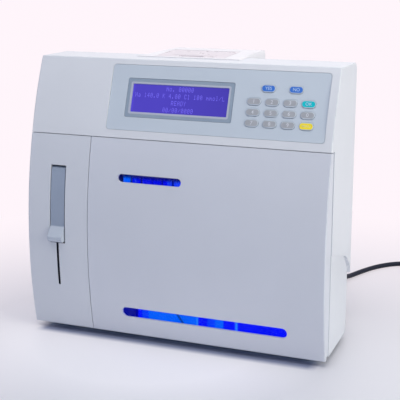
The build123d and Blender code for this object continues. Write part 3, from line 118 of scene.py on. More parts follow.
class Nodes:
    """Short calls for building the node tree of one material or world."""

    def __init__(self, owner):
        self.owner = owner
        owner.use_nodes = True
        self.tree = owner.node_tree
        self.tree.nodes.clear()

    def add(self, kind, **values):
        node = self.tree.nodes.new(kind)
        for key, value in values.items():
            setattr(node, key, value)
        return node

    def link(self, source, target):
        self.tree.links.new(source, target)

    def fill(self, socket, value):
        """Sets a socket to a number or a colour, or links it to another node's output."""
        if isinstance(value, tuple):
            socket.default_value = (*value, 1.0)
        elif isinstance(value, float):
            socket.default_value = value
        else:
            self.link(value, socket)

    def coords(self):
        return self.add("ShaderNodeTexCoord").outputs["Object"]

    def axes(self, names):
        """The coordinates whose letters are named."""
        place = self.add("ShaderNodeSeparateXYZ")
        self.link(self.coords(), place.inputs["Vector"])
        return [place.outputs[name] for name in names]

    def panel_axes(self, z):
        """Metres across the control panel, and up its slope from a height."""
        up = self.add("ShaderNodeVectorMath", operation="DOT_PRODUCT")
        self.link(self.coords(), up.inputs[0])
        up.inputs[1].default_value = PANEL_UP
        level = PANEL_UP.dot(panel_point(0.0, z))
        return self.axes("X")[0], self.math("SUBTRACT", up.outputs["Value"], level)

    def distance(self, centre):
        """How far a place lies from a centre."""
        away = self.add("ShaderNodeVectorMath", operation="DISTANCE")
        self.link(self.coords(), away.inputs[0])
        away.inputs[1].default_value = centre
        return away.outputs["Value"]

    def noise(self, scale, detail=3.0, rough=0.5, coords=None):
        node = self.add("ShaderNodeTexNoise")
        node.inputs["Scale"].default_value = scale
        node.inputs["Detail"].default_value = detail
        node.inputs["Roughness"].default_value = rough
        self.link(coords or self.coords(), node.inputs["Vector"])
        return node.outputs["Fac"]

    def math(self, operation, *values):
        node = self.add("ShaderNodeMath", operation=operation)
        for socket, value in zip(node.inputs, values):
            self.fill(socket, value)
        return node.outputs[0]

    def product(self, first, second):
        return self.math("MULTIPLY", first, second)

    def aside(self, value, centre):
        """How far a value lies from a centre, on either side."""
        return self.math("ABSOLUTE", self.math("SUBTRACT", value, centre))

    def spread(self, value, low, high, from_low=0.3, from_high=0.7, **settings):
        """Lays what lies between from_low and from_high over low to high, and holds the ends."""
        node = self.add("ShaderNodeMapRange", **settings)
        ends = {"From Min": from_low, "From Max": from_high, "To Min": low, "To Max": high}
        for key, number in ends.items():
            node.inputs[key].default_value = number
        self.link(value, node.inputs["Value"])
        return node.outputs["Result"]

    def within(self, value, centre, half, soft=0.00005):
        """1 within half of the centre, and 0 beyond it."""
        return self.spread(self.aside(value, centre), 1.0, 0.0, half - soft, half + soft)

    def within_round(self, across, up, half_width, half_height, radius, soft=0.0002):
        """1 inside a rectangle with round corners, and 0 outside it."""
        squares = []
        for value, half in ((across, half_width), (up, half_height)):
            beyond = self.math("SUBTRACT", self.math("ABSOLUTE", value), half - radius)
            squares.append(self.math("POWER", self.math("MAXIMUM", beyond, 0.0), 2.0))
        reach = self.math("SQRT", self.math("ADD", *squares))
        return self.spread(reach, 1.0, 0.0, radius - soft, radius + soft)

    def mix(self, factor, first, second):
        node = self.add("ShaderNodeMix", data_type="RGBA")
        for index, value in ((0, factor), (6, first), (7, second)):
            self.fill(node.inputs[index], value)
        return node.outputs[2]

    def bands(self, value, low, high, start, pieces):
        """Colours along a length from low to high, from (end, colour) pieces with narrow changes."""
        node = self.add("ShaderNodeValToRGB")
        self.link(self.spread(value, 0.0, 1.0, low, high), node.inputs["Fac"])
        stops = []
        for end, color in pieces:
            stops += [(start + BAND_CHANGE, color), (end - BAND_CHANGE, color)]
            start = end
        marks = node.color_ramp.elements
        while len(marks) < len(stops):
            marks.new(0.5)
        for mark, (place, color) in zip(marks, stops):
            mark.position = (place - low) / (high - low)
            mark.color = (*color, 1.0)
        return node.outputs["Color"]

    def shader(self, color, rough, metallic=0.0, **sockets):
        """A surface: its colour and roughness are constants or links, and sockets names the others."""
        node = self.add("ShaderNodeBsdfPrincipled")
        self.fill(node.inputs["Base Color"], color)
        self.fill(node.inputs["Roughness"], rough)
        self.fill(node.inputs["Metallic"], metallic)
        for key, value in sockets.items():
            self.fill(node.inputs[key.replace("_", " ")], value)
        return node

    def glow(self, shader, color, strength):
        """Light from a surface, its colour and strength as constants or links."""
        self.fill(shader.inputs["Emission Color"], color)
        self.fill(shader.inputs["Emission Strength"], strength)

    def blend(self, factor, first, second):
        """One shader where the factor is 0 and another where it is 1."""
        node = self.add("ShaderNodeMixShader")
        for socket, source in zip(node.inputs, (factor, first.outputs[0], second.outputs[0])):
            self.link(source, socket)
        return node

    def backdrop_rays(self):
        """1 for the rays that see the pale backdrop: camera, glossy and transmission rays."""
        rays = self.add("ShaderNodeLightPath").outputs
        seen = self.math("MAXIMUM", rays["Is Camera Ray"], rays["Is Glossy Ray"])
        return self.math("MAXIMUM", seen, rays["Is Transmission Ray"])

    def finish(self, shader, grain=None, relief=0.00002, strength=1.0, bevel=0.0):
        """The finished material: its grain is a bump as high as relief, and bevel rounds its edges."""
        normal = None
        if bevel:
            edge = self.add("ShaderNodeBevel", samples=6)
            edge.inputs["Radius"].default_value = bevel
            normal = edge.outputs["Normal"]
        if grain is not None:
            bump = self.add("ShaderNodeBump")
            bump.inputs["Distance"].default_value = relief
            bump.inputs["Strength"].default_value = strength
            self.link(grain, bump.inputs["Height"])
            if normal is not None:
                self.link(normal, bump.inputs["Normal"])
            normal = bump.outputs["Normal"]
        if normal is not None:
            self.link(normal, shader.inputs["Normal"])
        out = self.add("ShaderNodeOutputMaterial")
        self.link(shader.outputs[0], out.inputs["Surface"])
        return self.owner


def material_nodes(name):
    return Nodes(bpy.data.materials.new(name))


def shade(color, factor):
    return tuple(min(1.0, channel * factor) for channel in color)


def clouded(n, color, dark=0.975, light=1.02, **noise):
    """A colour that varies a little over the surface."""
    return n.mix(n.spread(n.noise(**noise), 0.0, 1.0), shade(color, dark), shade(color, light))


def moulded_tint(n, color):
    return clouded(n, color, scale=7.0, detail=4.0)


def handled(n, low, high):
    """A roughness between two values, uneven from handling."""
    return n.spread(n.noise(scale=38.0, detail=5.0, rough=0.62), low, high)


MOULD_GRAIN, MOULD_RELIEF, MOULD_BEVEL = 1400.0, 0.000012, 0.0006
MOULD_ROUGH, SHEEN_BELOW, SHEEN_ABOVE = 0.42, 0.06, 0.07
FINE_RELIEF = 0.000008


def moulded(
    name, color, rough=MOULD_ROUGH, grain=MOULD_GRAIN, relief=MOULD_RELIEF, bevel=MOULD_BEVEL, **sockets
):
    """Fine spark-eroded plastic: a close grain, slight cloudiness and handling marks in the sheen."""
    n = material_nodes(name)
    sheen = handled(n, rough - SHEEN_BELOW, rough + SHEEN_ABOVE)
    shader = n.shader(moulded_tint(n, color), sheen, **sockets)
    return n.finish(shader, n.noise(grain, detail=2.0), relief=relief, bevel=bevel)


def coated(name, color, rough=0.5):
    """Powder-coated sheet: a slight orange peel over a finer speckle."""
    n = material_nodes(name)
    tint = clouded(n, color, 0.96, 1.03, scale=2200.0, detail=2.0)
    sheen = n.spread(n.noise(scale=60.0, detail=4.0), rough - 0.05, rough + 0.06)
    peel = n.noise(scale=620.0, detail=3.0, rough=0.6)
    return n.finish(n.shader(tint, sheen), peel, relief=0.00003, bevel=0.0006)


ALONG_X, ALONG_Y, ALONG_Z = (1.0, 40.0, 40.0), (40.0, 1.0, 40.0), (40.0, 40.0, 1.0)


def brushed(name, color, rough, stretch=ALONG_X):
    """Metal with fine scratches along one direction."""
    n = material_nodes(name)
    place = n.add("ShaderNodeMapping")
    n.link(n.coords(), place.inputs["Vector"])
    place.inputs["Scale"].default_value = stretch
    lines = n.noise(scale=90.0, detail=5.0, rough=0.7, coords=place.outputs["Vector"])
    tint = n.mix(n.spread(lines, 0.0, 1.0), shade(color, 0.86), shade(color, 1.06))
    sheen = n.spread(lines, rough - 0.08, rough + 0.12)
    return n.finish(n.shader(tint, sheen, metallic=1.0), lines, relief=FINE_RELIEF, bevel=0.0003)


DUST_PALER = 0.02


def rubbery(name, color, rough=0.62):
    """Matt rubber, soft plastic or paper, with a little pale dust."""
    n = material_nodes(name)
    patches = n.noise(scale=120.0, detail=6.0, rough=0.7)
    dust = n.spread(patches, 0.0, 1.0, from_low=0.45, from_high=0.8)
    tint = n.mix(dust, color, tuple(channel + DUST_PALER for channel in color))
    sheen = n.spread(n.noise(scale=300.0, detail=4.0), rough - 0.08, rough + 0.1)
    nap = n.noise(scale=2600.0, detail=2.0)
    return n.finish(n.shader(tint, sheen), nap, relief=0.00001, bevel=0.0004)


# The lever is one grey-blue plastic; the finger tab's paler colour is painted light on its upward face
LEVER_BAR, LEVER_TAB_PAINTED_LIT = (0.325, 0.385, 0.495), (0.50, 0.55, 0.64)
TAB_EDGE = (0.1405, 0.1412)


def lever_plastic(name):
    """The lever's grey-blue bar, with its finger tab painted paler: a painted highlight where the tab faces
    up to the lamps.
    """
    n = material_nodes(name)
    tab = n.spread(n.axes("Z")[0], 1.0, 0.0, *TAB_EDGE)
    scaled = n.add("ShaderNodeVectorMath", operation="SCALE")
    n.link(n.mix(tab, LEVER_BAR, LEVER_TAB_PAINTED_LIT), scaled.inputs[0])
    n.link(n.spread(n.noise(scale=26.0, detail=4.0), 0.97, 1.03), scaled.inputs["Scale"])
    sheen = n.spread(n.noise(scale=60.0, detail=5.0), 0.32, 0.44)
    grain = n.noise(scale=1800.0, detail=2.0)
    return n.finish(n.shader(scaled.outputs[0], sheen), grain, relief=FINE_RELIEF, bevel=MOULD_BEVEL)


# Painted shade: a near-black for the walls of the pocket and the slot, which lie in deep shade
POCKET_PAINTED_SHADE = (0.012, 0.016, 0.040)


def sampler_plastic(name, color):
    """The case's plastic, with painted shade in the lever's pocket and the probe's slot: a matt near-black
    where their walls lie in shade.
    """
    n = material_nodes(name)
    x, z = n.axes("XZ")
    shaded_spots = []
    for low, high, left, right in (POCKET, PROBE_SLOT):
        across = n.within(x, LEVER_X + (left + right) / 2, (right - left) / 2)
        shaded_spots.append(n.product(across, n.within(z, (low + high) / 2, (high - low) / 2 + PAINTED_SHADE_LAP)))
    tint = n.mix(n.math("MAXIMUM", *shaded_spots), moulded_tint(n, color), POCKET_PAINTED_SHADE)
    shader = n.shader(tint, handled(n, MOULD_ROUGH - SHEEN_BELOW, MOULD_ROUGH + SHEEN_ABOVE))
    grain = n.noise(MOULD_GRAIN, detail=2.0)
    return n.finish(shader, grain, relief=MOULD_RELIEF, bevel=MOULD_BEVEL)


OVERLAY = (0.575, 0.640, 0.724)


def key_film(name, color, first=(KEY_X, KEY_Z), step=(KEY_STEP_X, KEY_STEP_Z)):
    """An embossed key: its colour is printed as an oval on the overlay's film."""
    n = material_nodes(name)
    across, up = n.panel_axes(first[1])
    offset = n.math("SUBTRACT", across, first[0])
    rows = step[1] / cos(PANEL_TILT)
    u = n.math("WRAP", offset, step[0] / 2, -step[0] / 2)
    v = n.math("WRAP", up, rows / 2, -rows / 2)
    printed = n.within_round(u, v, PRINT_HALF_WIDTH, PRINT_HALF_HEIGHT, PRINT_CORNER, soft=0.0003)
    tint = n.mix(printed, OVERLAY, clouded(n, color, 0.94, 1.05, scale=90.0, detail=4.0))
    sheen = n.spread(n.noise(scale=60.0, detail=5.0, rough=0.62), 0.34, 0.46)
    shader = n.shader(tint, sheen, Specular_IOR_Level=0.3)
    return n.finish(shader, n.noise(scale=2400.0, detail=2.0), relief=FINE_RELIEF, bevel=0.0004)


FRAME_GREYS = (0.272, 0.342, 0.438), (0.300, 0.372, 0.468)
RING_GREY = (0.470, 0.500, 0.600)


def lcd_frame(name):
    """The display's grey frame, with a paler ring next to the screen."""
    n = material_nodes(name)
    across, up = n.panel_axes(LCD_Z)
    ring = n.within_round(across, up, LCD_HALF_WIDTH + RING, LCD_HALF_HEIGHT + RING, RING)
    cloud = n.spread(n.noise(scale=60.0, detail=4.0), 0.0, 1.0)
    shader = n.shader(n.mix(ring, n.mix(cloud, *FRAME_GREYS), RING_GREY), handled(n, 0.34, 0.48))
    return n.finish(shader, n.noise(scale=2000.0, detail=2.0), relief=FINE_RELIEF, bevel=0.0004)


SCREEN_GLOW, SCREEN_SURFACE = (0.062, 0.044, 0.455), (0.010, 0.008, 0.060)


def lcd_screen(name):
    """A lit blue screen with round corners, brighter where its lamp is, at the left."""
    n = material_nodes(name)
    across, up = n.panel_axes(LCD_Z)
    lit_area = n.within_round(across, up, LCD_HALF_WIDTH, LCD_HALF_HEIGHT, LCD_CORNER)
    fall = n.spread(across, 1.04, 0.86, from_low=-0.020, from_high=0.062)
    left_edge = n.spread(across, 1.30, 1.0, from_low=-0.0625, from_high=-0.0590)
    uneven = n.spread(n.noise(scale=14.0, detail=2.0), 0.96, 1.04)
    level = n.product(n.product(fall, left_edge), uneven)
    shader = n.shader(n.mix(lit_area, RING_GREY, SCREEN_SURFACE), 0.3, Specular_IOR_Level=0.15)
    n.glow(shader, SCREEN_GLOW, n.product(level, lit_area))
    return n.finish(shader)


# The blue light seen through the door's two slots, painted as glow on the pack, the electrodes and the
# window: each band is the x where it ends, and its colour
NAVY, BLUE, DEEP = (0.0, 0.0, 0.05), (0.0, 0.004, 1.0), (0.0, 0.0, 0.42)
AZURE, PALE, DARK = (0.0, 0.120, 1.0), (0.02, 0.22, 1.0), (0.0, 0.0, 0.08)
SEA, INDIGO, SKY = (0.0, 0.045, 1.0), (0.0, 0.002, 0.72), (0.008, 0.046, 0.84)
PACK_LEFT, PACK_RIGHT, PACK_START = -0.080, 0.180, -0.0760
CHAMBERS = [
    (-0.0545, NAVY), (-0.0490, BLUE), (-0.0400, SEA), (0.0250, AZURE), (0.0275, PALE),
    (0.0400, BLUE), (0.0500, SEA), (0.0610, AZURE), (0.0765, BLUE), (0.0795, PALE), (0.1780, BLUE),
]
BLOCKS_LEFT, BLOCKS_RIGHT, BLOCKS_START = -0.080, 0.020, -0.0790
BLOCKS = [
    (-0.0615, AZURE), (-0.0592, DARK), (-0.0562, INDIGO), (-0.0535, SKY), (-0.0480, INDIGO),
    (-0.0456, DARK), (-0.0330, INDIGO), (-0.0314, DEEP), (-0.0196, INDIGO), (-0.0180, DARK),
    (-0.0120, INDIGO), (-0.0058, SKY), (-0.0036, DARK), (0.0160, SKY),
]
BETWEEN_SLOTS = (0.10, 0.11)
WINDOW_BODY, WINDOW_PAINTED_GLOW = (0.01, 0.02, 0.20), (0.0, 0.0, 1.0)
# Painted glow on the window: its strength at the lower slot's left end and in the upper slot
LOWER_PAINTED_GLOW, UPPER_PAINTED_GLOW = 2.3, 0.7
LOWER_DARK_END, DARK_EDGE = -0.0425, 0.003
PACK_LIT_LOW, PACK_LIT_HIGH = (0.016, 0.024), (0.040, 0.066)
PACK_BODY, PACK_BODY_LIT = (0.34, 0.38, 0.48), (0.012, 0.016, 0.10)
TUBE_LEAN, TUBE_FOOT, TUBE_EDGE = 0.75, 0.0262, (0.0010, 0.0022)
BLOCK_BODY = (0.010, 0.018, 0.16)
BLOCK_LIT_LOW, BLOCK_LIT_HIGH = (0.1945, 0.1985), (0.2040, 0.2076)


def window_film(name):
    """Clear acrylic with painted blue glow for the lit inside seen through it: navy at the lower slot's
    left end, faint in the upper one.
    """
    n = material_nodes(name)
    x, z = n.axes("XZ")
    left_end = n.spread(x, LOWER_PAINTED_GLOW, 0.0, LOWER_DARK_END - DARK_EDGE, LOWER_DARK_END)
    lower = n.product(n.spread(z, 1.0, 0.0, *BETWEEN_SLOTS), left_end)
    upper = n.spread(z, 0.0, UPPER_PAINTED_GLOW, *BETWEEN_SLOTS)
    sheen = n.spread(n.noise(scale=80.0, detail=5.0, rough=0.7), 0.06, 0.14)
    shader = n.shader(WINDOW_BODY, sheen, Alpha=0.05)
    n.glow(shader, WINDOW_PAINTED_GLOW, n.math("ADD", lower, upper))
    return n.finish(shader)


def glowing_pack(name):
    """Milky polyethylene with painted blue glow round the lower lamp, as if lit from behind, in bands by
    its chambers, and a tube's painted shadow across it.
    """
    n = material_nodes(name)
    x, z = n.axes("XZ")
    band = n.product(n.spread(z, 0.0, 1.0, *PACK_LIT_LOW), n.spread(z, 1.0, 0.0, *PACK_LIT_HIGH))
    color = n.bands(x, PACK_LEFT, PACK_RIGHT, PACK_START, CHAMBERS)
    slant = n.math("MULTIPLY_ADD", z, TUBE_LEAN, x)
    # Painted shadow of a tube: the glow is dimmed along a slanting line
    tube = n.spread(n.aside(slant, TUBE_FOOT), 0.35, 1.0, *TUBE_EDGE)
    uneven = n.spread(n.noise(scale=60.0), 0.92, 1.06)
    sheen = n.spread(n.noise(scale=40.0), 0.45, 0.6)
    shader = n.shader(n.mix(band, PACK_BODY, PACK_BODY_LIT), sheen, Specular_IOR_Level=0.1)
    n.glow(shader, color, n.product(band, n.product(tube, uneven)))
    return n.finish(shader, n.noise(scale=500.0), bevel=0.0008)


def glowing_electrode(name):
    """Clear acrylic blocks with painted glow for the lamp behind them, painted shade above the lamp, and
    darker at the joints.
    """
    n = material_nodes(name)
    x, z = n.axes("XZ")
    core = n.product(n.spread(z, 1.0, 0.03, *BLOCK_LIT_HIGH), n.spread(z, 0.1, 1.0, *BLOCK_LIT_LOW))
    color = n.bands(x, BLOCKS_LEFT, BLOCKS_RIGHT, BLOCKS_START, BLOCKS)
    uneven = n.spread(n.noise(scale=240.0), 0.82, 1.12)
    shader = n.shader(BLOCK_BODY, 0.12, Alpha=0.92, Specular_IOR_Level=0.2)
    n.glow(shader, color, n.product(core, uneven))
    return n.finish(shader)


LAMP_BLUE, LAMP_GLOW = (0.002, 0.006, 1.0), 1.2


def lamp_strip(name):
    """A lit blue strip, a little uneven as a diffuser is."""
    n = material_nodes(name)
    uneven = n.spread(n.noise(scale=30.0, detail=2.0), 0.88, 1.12)
    shader = n.shader(shade(LAMP_BLUE, 0.1), 0.3, Specular_IOR_Level=0.15)
    n.glow(shader, n.mix(uneven, BLACK, LAMP_BLUE), LAMP_GLOW)
    return n.finish(shader)


MASK_GREEN, TRACK_GREEN = (0.012, 0.105, 0.05), (0.03, 0.19, 0.09)


def board_green(name):
    """A circuit board: dark green solder mask, paler along the lines of its tracks."""
    n = material_nodes(name)
    cells = n.add("ShaderNodeTexVoronoi", feature="DISTANCE_TO_EDGE", distance="MANHATTAN")
    cells.inputs["Scale"].default_value = 260.0
    n.link(n.coords(), cells.inputs["Vector"])
    tracks = n.spread(cells.outputs["Distance"], 0.0, 1.0, from_low=0.02, from_high=0.07)
    sheen = n.spread(n.noise(scale=90.0), 0.25, 0.42)
    shader = n.shader(n.mix(tracks, TRACK_GREEN, MASK_GREEN), sheen)
    return n.finish(shader, tracks, strength=0.6, bevel=0.0002)


MAKERS = {
    "case_white": partial(moulded, color=(0.748, 0.764, 0.814)),
    "door_white": partial(moulded, color=(0.676, 0.696, 0.770)),
    "hood_white": partial(coated, color=(0.760, 0.770, 0.800)),
    "panel_metal": partial(coated, color=(0.700, 0.715, 0.750)),
    "plate_white": partial(coated, color=(0.640, 0.660, 0.700)),
    "printer_white": partial(moulded, color=(0.875, 0.850, 0.880)),
    "pan_steel": partial(brushed, color=(0.56, 0.57, 0.59), rough=0.38),
    "pin_steel": partial(brushed, color=(0.58, 0.58, 0.60), rough=0.24, stretch=ALONG_Z),
    # the probe needle's dark steel is partly painted shade, darkened to match the shaded slot it stands in
    "needle_steel": partial(brushed, color=(0.16, 0.165, 0.19), rough=0.3, stretch=ALONG_Z),
    "roller_steel": partial(brushed, color=(0.60, 0.60, 0.62), rough=0.2, stretch=ALONG_Y),
    "screw_steel": partial(brushed, color=(0.60, 0.60, 0.62), rough=0.25),
    "motor_metal": partial(brushed, color=(0.42, 0.43, 0.45), rough=0.4, stretch=ALONG_Y),
    "supply_metal": partial(brushed, color=(0.55, 0.56, 0.57), rough=0.36),
    "rubber_black": partial(rubbery, color=(0.018, 0.018, 0.02)),
    "platen_rubber": partial(rubbery, color=(0.03, 0.03, 0.033)),
    "cord_black": partial(
        moulded, color=(0.006, 0.010, 0.024), rough=0.5, bevel=0.0, Specular_IOR_Level=0.22
    ),
    "plug_black": partial(moulded, color=(0.012, 0.012, 0.014), rough=0.4),
    "tube_clear": partial(rubbery, color=(0.60, 0.63, 0.66), rough=0.3),
    "overlay_grey": partial(
        moulded, color=OVERLAY, rough=0.36, grain=2600.0, relief=FINE_RELIEF, bevel=0.0003
    ),
    "lcd_frame": lcd_frame,
    "lcd_blue": lcd_screen,
    "key_blue": partial(
        key_film, color=(0.045, 0.185, 0.660),
        first=(TOP_KEY_X, TOP_KEY_Z), step=(TOP_KEY_STEP, KEY_STEP_Z),
    ),
    "key_teal": partial(key_film, color=(0.000, 0.550, 0.630)),
    "key_yellow": partial(key_film, color=(1.000, 0.800, 0.030)),
    "key_grey": partial(key_film, color=(0.400, 0.412, 0.450)),
    "board_green": board_green,
    "lever_grey": lever_plastic,
    "window_clear": window_film,
    "electrode_clear": glowing_electrode,
    "lamp_blue": lamp_strip,
    "holder_grey": partial(moulded, color=(0.085, 0.092, 0.108), rough=0.45),
    "rotor_white": partial(moulded, color=(0.78, 0.78, 0.76), rough=0.35),
    "valve_black": partial(moulded, color=(0.02, 0.02, 0.023), rough=0.4),
    "fan_black": partial(moulded, color=(0.014, 0.014, 0.016)),
    "inlet_black": partial(moulded, color=(0.014, 0.014, 0.016), rough=0.38),
    "rocker_black": partial(
        moulded, color=(0.010, 0.010, 0.011), rough=0.2, grain=3000.0, relief=0.000004
    ),
    "lid_tint": partial(
        moulded, color=(0.710, 0.645, 0.695), rough=0.30, grain=2600.0, relief=0.000004
    ),
    "paper_white": partial(rubbery, color=(0.80, 0.80, 0.77), rough=0.7),
    "pack_white": glowing_pack,
}
materials = {slot: maker(slot) for slot, maker in MAKERS.items()}


def dress(node, material):
    """Give a CAD mesh its one material."""
    node.data.materials.clear()
    node.data.materials.append(material)


for row in frame["record"]["subparts"]:
    dress(nodes[row["node"]], materials[row["material_slot"]])
dress(nodes["sampler_panel"], sampler_plastic("sampler_white", (0.687, 0.708, 0.770)))


def ink(name, color, strength=0.0):
    """Print, or the light of a display's dots."""
    n = material_nodes(name)
    cover = n.spread(n.noise(scale=900.0, detail=2.0), 0.0, 1.0)
    shader = n.shader(n.mix(cover, shade(color, 0.9), color), 0.5)
    n.glow(shader, color, strength)
    return n.finish(shader)


ink_pale = ink("ink_pale", (0.74, 0.76, 0.82))
ink_white = ink("ink_white", (0.50, 0.66, 0.88))
ink_cream = ink("ink_cream", (0.90, 0.78, 0.40))
dot_pale = ink("dot_pale", (0.120, 0.095, 0.580), 0.80)

# Camera
CAMERA_PLACE = (0.5025, -1.2272, 0.4786)
CAMERA_DOWN, CAMERA_TURN = 13.20, 22.22
camera_data = bpy.data.cameras.new("camera")
camera_data.sensor_width = 36.0
camera_data.lens = 95.70
camera = add_object("camera", camera_data)
camera.location = CAMERA_PLACE
camera.rotation_euler = (radians(90 - CAMERA_DOWN), 0.0, radians(CAMERA_TURN))
bpy.context.scene.camera = camera

# Mains lead, as one smooth curve over the CAD's route and coil. Four points behind the case stand up to
# 12 mm aside, so that the case hides the lead's way down, as in the photograph
CORD_DIAMETER = 0.007
CORD_ROUTE = [
    (138.0, 157.5, 62.0),
    (138.0, 184.0, 62.0),
    (131.0, 208.0, 46.0),
    (125.0, 229.0, 19.5),
    (129.0, 257.0, 3.9),
    (144.0, 301.0, 3.7),
    (160.0, 335.0, 3.7),
    (184.0, 362.0, 3.7),
    (220.0, 374.0, 3.7),
    (256.0, 373.0, 3.7),
]
COIL_OUTER = 42.0
COIL_PITCH = 7.9
COIL_HALF_TURNS = 5
COIL_CLIMB_TIGHTER = 3.3
COIL_TAIL = 26.0
STEPS_PER_HALF_TURN = 12


def coil_points():
    """The coil's turns as points: inward on the table, one climb, then outward on top."""
    before, point = Vector(CORD_ROUTE[-2]), Vector(CORD_ROUTE[-1])
    travel = Vector((point.x - before.x, point.y - before.y, 0)).normalized()
    radii = [COIL_OUTER - index * COIL_PITCH / 2 for index in range(COIL_HALF_TURNS)]
    turns = [(radius, 0.0, pi) for radius in radii]
    turns.append((radii[-1] - COIL_CLIMB_TIGHTER, COIL_PITCH, pi))
    turns += [(radius, 0.0, pi) for radius in reversed(radii[1:])]
    turns.append((COIL_OUTER, 0.0, pi / 2))
    points = []
    for radius, rise, sweep in turns:
        side = Vector((travel.y, -travel.x, 0))
        centre = point + side * radius + Vector((0, 0, rise / 2))
        arm = point - centre
        steps = round(STEPS_PER_HALF_TURN * sweep / pi)
        for step in range(1, steps + 1):
            angle = sweep * step / steps
            points.append(centre + arm * cos(angle) + travel * (radius * sin(angle)))
        point = points[-1]
        travel = travel * cos(sweep) + side * sin(sweep)
    return points + [point + travel * COIL_TAIL]


def lead_curve():
    """The lead's smooth round curve along its route and through its coil."""
    route = [Vector(place) for place in CORD_ROUTE] + coil_points()
    curve = bpy.data.curves.new("mains_lead", "CURVE")
    curve.dimensions = "3D"
    curve.bevel_depth = CORD_DIAMETER / 2
    curve.bevel_resolution = 6
    curve.resolution_u = 10
    curve.use_fill_caps = True
    spline = curve.splines.new("NURBS")
    spline.points.add(len(route) - 1)
    for spot, place in zip(spline.points, route):
        spot.co = (*(place * MM), 1.0)
    spline.order_u = 3
    spline.use_endpoint_u = True
    curve.materials.append(materials["cord_black"])
    return curve


lead = add_object("mains_lead", lead_curve())
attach(lead, "case")
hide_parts("mains_cord", "cord_coil")

# Key legends
KEY_LEGENDS = ["1", "2", "3", "OK", "4", "5", "6", "0", "7", "8", "9", "MENU", "YES", "NO"]
LEGEND_INKS = {"MENU": ink_cream, "OK": ink_white, "YES": ink_white, "NO": ink_white}
LEGEND_SIZES = {1: 0.0060, 2: 0.0053, 3: 0.0053, 4: 0.0038}
KEY_TOP = 0.0010
INK_RAISED = 0.00004
INK_THICK, INK_SPREAD = 0.00003, 0.00003


def key_place(index):
    """A key's x and height: three rows of four, then the two at the top."""
    if index >= GRID_KEYS:
        return TOP_KEY_X + (index - GRID_KEYS) * TOP_KEY_STEP, TOP_KEY_Z
    row, column = divmod(index, KEY_COLUMNS)
    return KEY_X + column * KEY_STEP_X, KEY_Z - row * KEY_STEP_Z


for index, legend in enumerate(KEY_LEGENDS):
    name = f"legend_{index + 1:02d}"
    text = bpy.data.curves.new(name, "FONT")
    text.body = legend
    text.size = LEGEND_SIZES[len(legend)]
    text.extrude = INK_THICK
    text.offset = INK_SPREAD
    text.align_x = "CENTER"
    text.align_y = "CENTER"
    text.materials.append(LEGEND_INKS.get(legend, ink_pale))
    piece = add_object(name, text)
    piece.matrix_world = panel_matrix(*key_place(index), KEY_TOP + INK_RAISED)
    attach(piece, f"key_{index + 1:02d}_cap")

# Display text: each glyph is seven rows of five dots, a row to a pair of hexadecimal digits
GLYPHS = {
    "0": "0e11131519110e", "1": "040c040404040e", "4": "02060a121f0202", ".": "00000000000c0c",
    "N": "11111915131111", "a": "00000e010f110f", "K": "11121418141211", "C": "0e11101010110e",
    "l": "0c04040404040e", "m": "00001a15151111", "o": "00000e1111110e", "L": "1010101010101f",
    "/": "00010204081000", " ": "00000000000000", "R": "1e11111e141211", "E": "1f10101e10101f",
    "A": "0e11111f111111", "D": "1e11111111111e", "Y": "11110a04040404",
}
GLYPH_ROWS, GLYPH_COLUMNS = 7, 5
DISPLAY_LINES = ("No. 00000", "Na 140.0 K 4.00 Cl 100 mmol/L", "READY", "00/00/0000")
DOT_X, DOT_Z, DOT_FILL = 0.00058, 0.00076, 0.86
DOT_OUT = -0.00155
LINE_STEP = 0.0081
ADVANCE = 0.00405


def lit_dots():
    """The places of the display's lit dots, by their left edge and top."""
    for line, words in enumerate(DISPLAY_LINES):
        left = LCD_X - len(words) * ADVANCE / 2
        lines_up = (len(DISPLAY_LINES) - 1) / 2 - line
        top = LCD_Z + LINE_STEP * lines_up + GLYPH_ROWS / 2 * DOT_Z
        for place, letter in enumerate(words):
            for row, bits in enumerate(bytes.fromhex(GLYPHS[letter])):
                for column in range(GLYPH_COLUMNS):
                    if bits >> (GLYPH_COLUMNS - 1 - column) & 1:
                        yield left + place * ADVANCE + column * DOT_X, top - row * DOT_Z


def flat_piece(name, bm, material):
    """An object made of a bmesh, with one material."""
    mesh = bpy.data.meshes.new(name)
    bm.to_mesh(mesh)
    bm.free()
    mesh.materials.append(material)
    return add_object(name, mesh)


dots = bmesh.new()
for x, z in lit_dots():
    right, low = x + DOT_X * DOT_FILL, z - DOT_Z * DOT_FILL
    corners = [(x, z), (right, z), (right, low), (x, low)]
    dots.faces.new([dots.verts.new(panel_point(u, v, DOT_OUT)) for u, v in reversed(corners)])
display_text = flat_piece("display_text", dots, dot_pale)
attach(display_text, "case")

# Floor: a pale sheet that fades into the backdrop, painted lighter round the case as painted reflected
# light from it, with a soft painted contact shadow under the front edge
FLOOR_HALF = 6.0
FADE_CENTRE, FADE_NEAR, FADE_FAR = (0.13, -0.26, 0.0), 0.16, 0.95
SHEET_CENTRE, SHEET_NEAR, SHEET_FAR = (-0.04, -0.07, 0.0), 0.15, 0.24
# Painted light: the sheet is paler round the case than further off
SHEET_PAINTED_LIGHT, SHEET_OUTER = (0.910, 0.890, 0.930), (0.735, 0.725, 0.770)
# Painted contact shadow: dark just in front of the front edge, paler under the case
CONTACT_X, CONTACT_HALF_WIDTH = -0.002, 0.183
CONTACT_Y, CONTACT_HALF_DEPTH = -0.035, 0.060
CONTACT_SOFT = 0.006
CONTACT_DARK_END, CONTACT_PALE_START = -0.080, -0.072
PAINTED_SHADOW_DARK, PAINTED_SHADOW_PALE = (0.265, 0.295, 0.440), (0.520, 0.610, 0.800)
WHITE = (1.0, 0.915, 0.965)


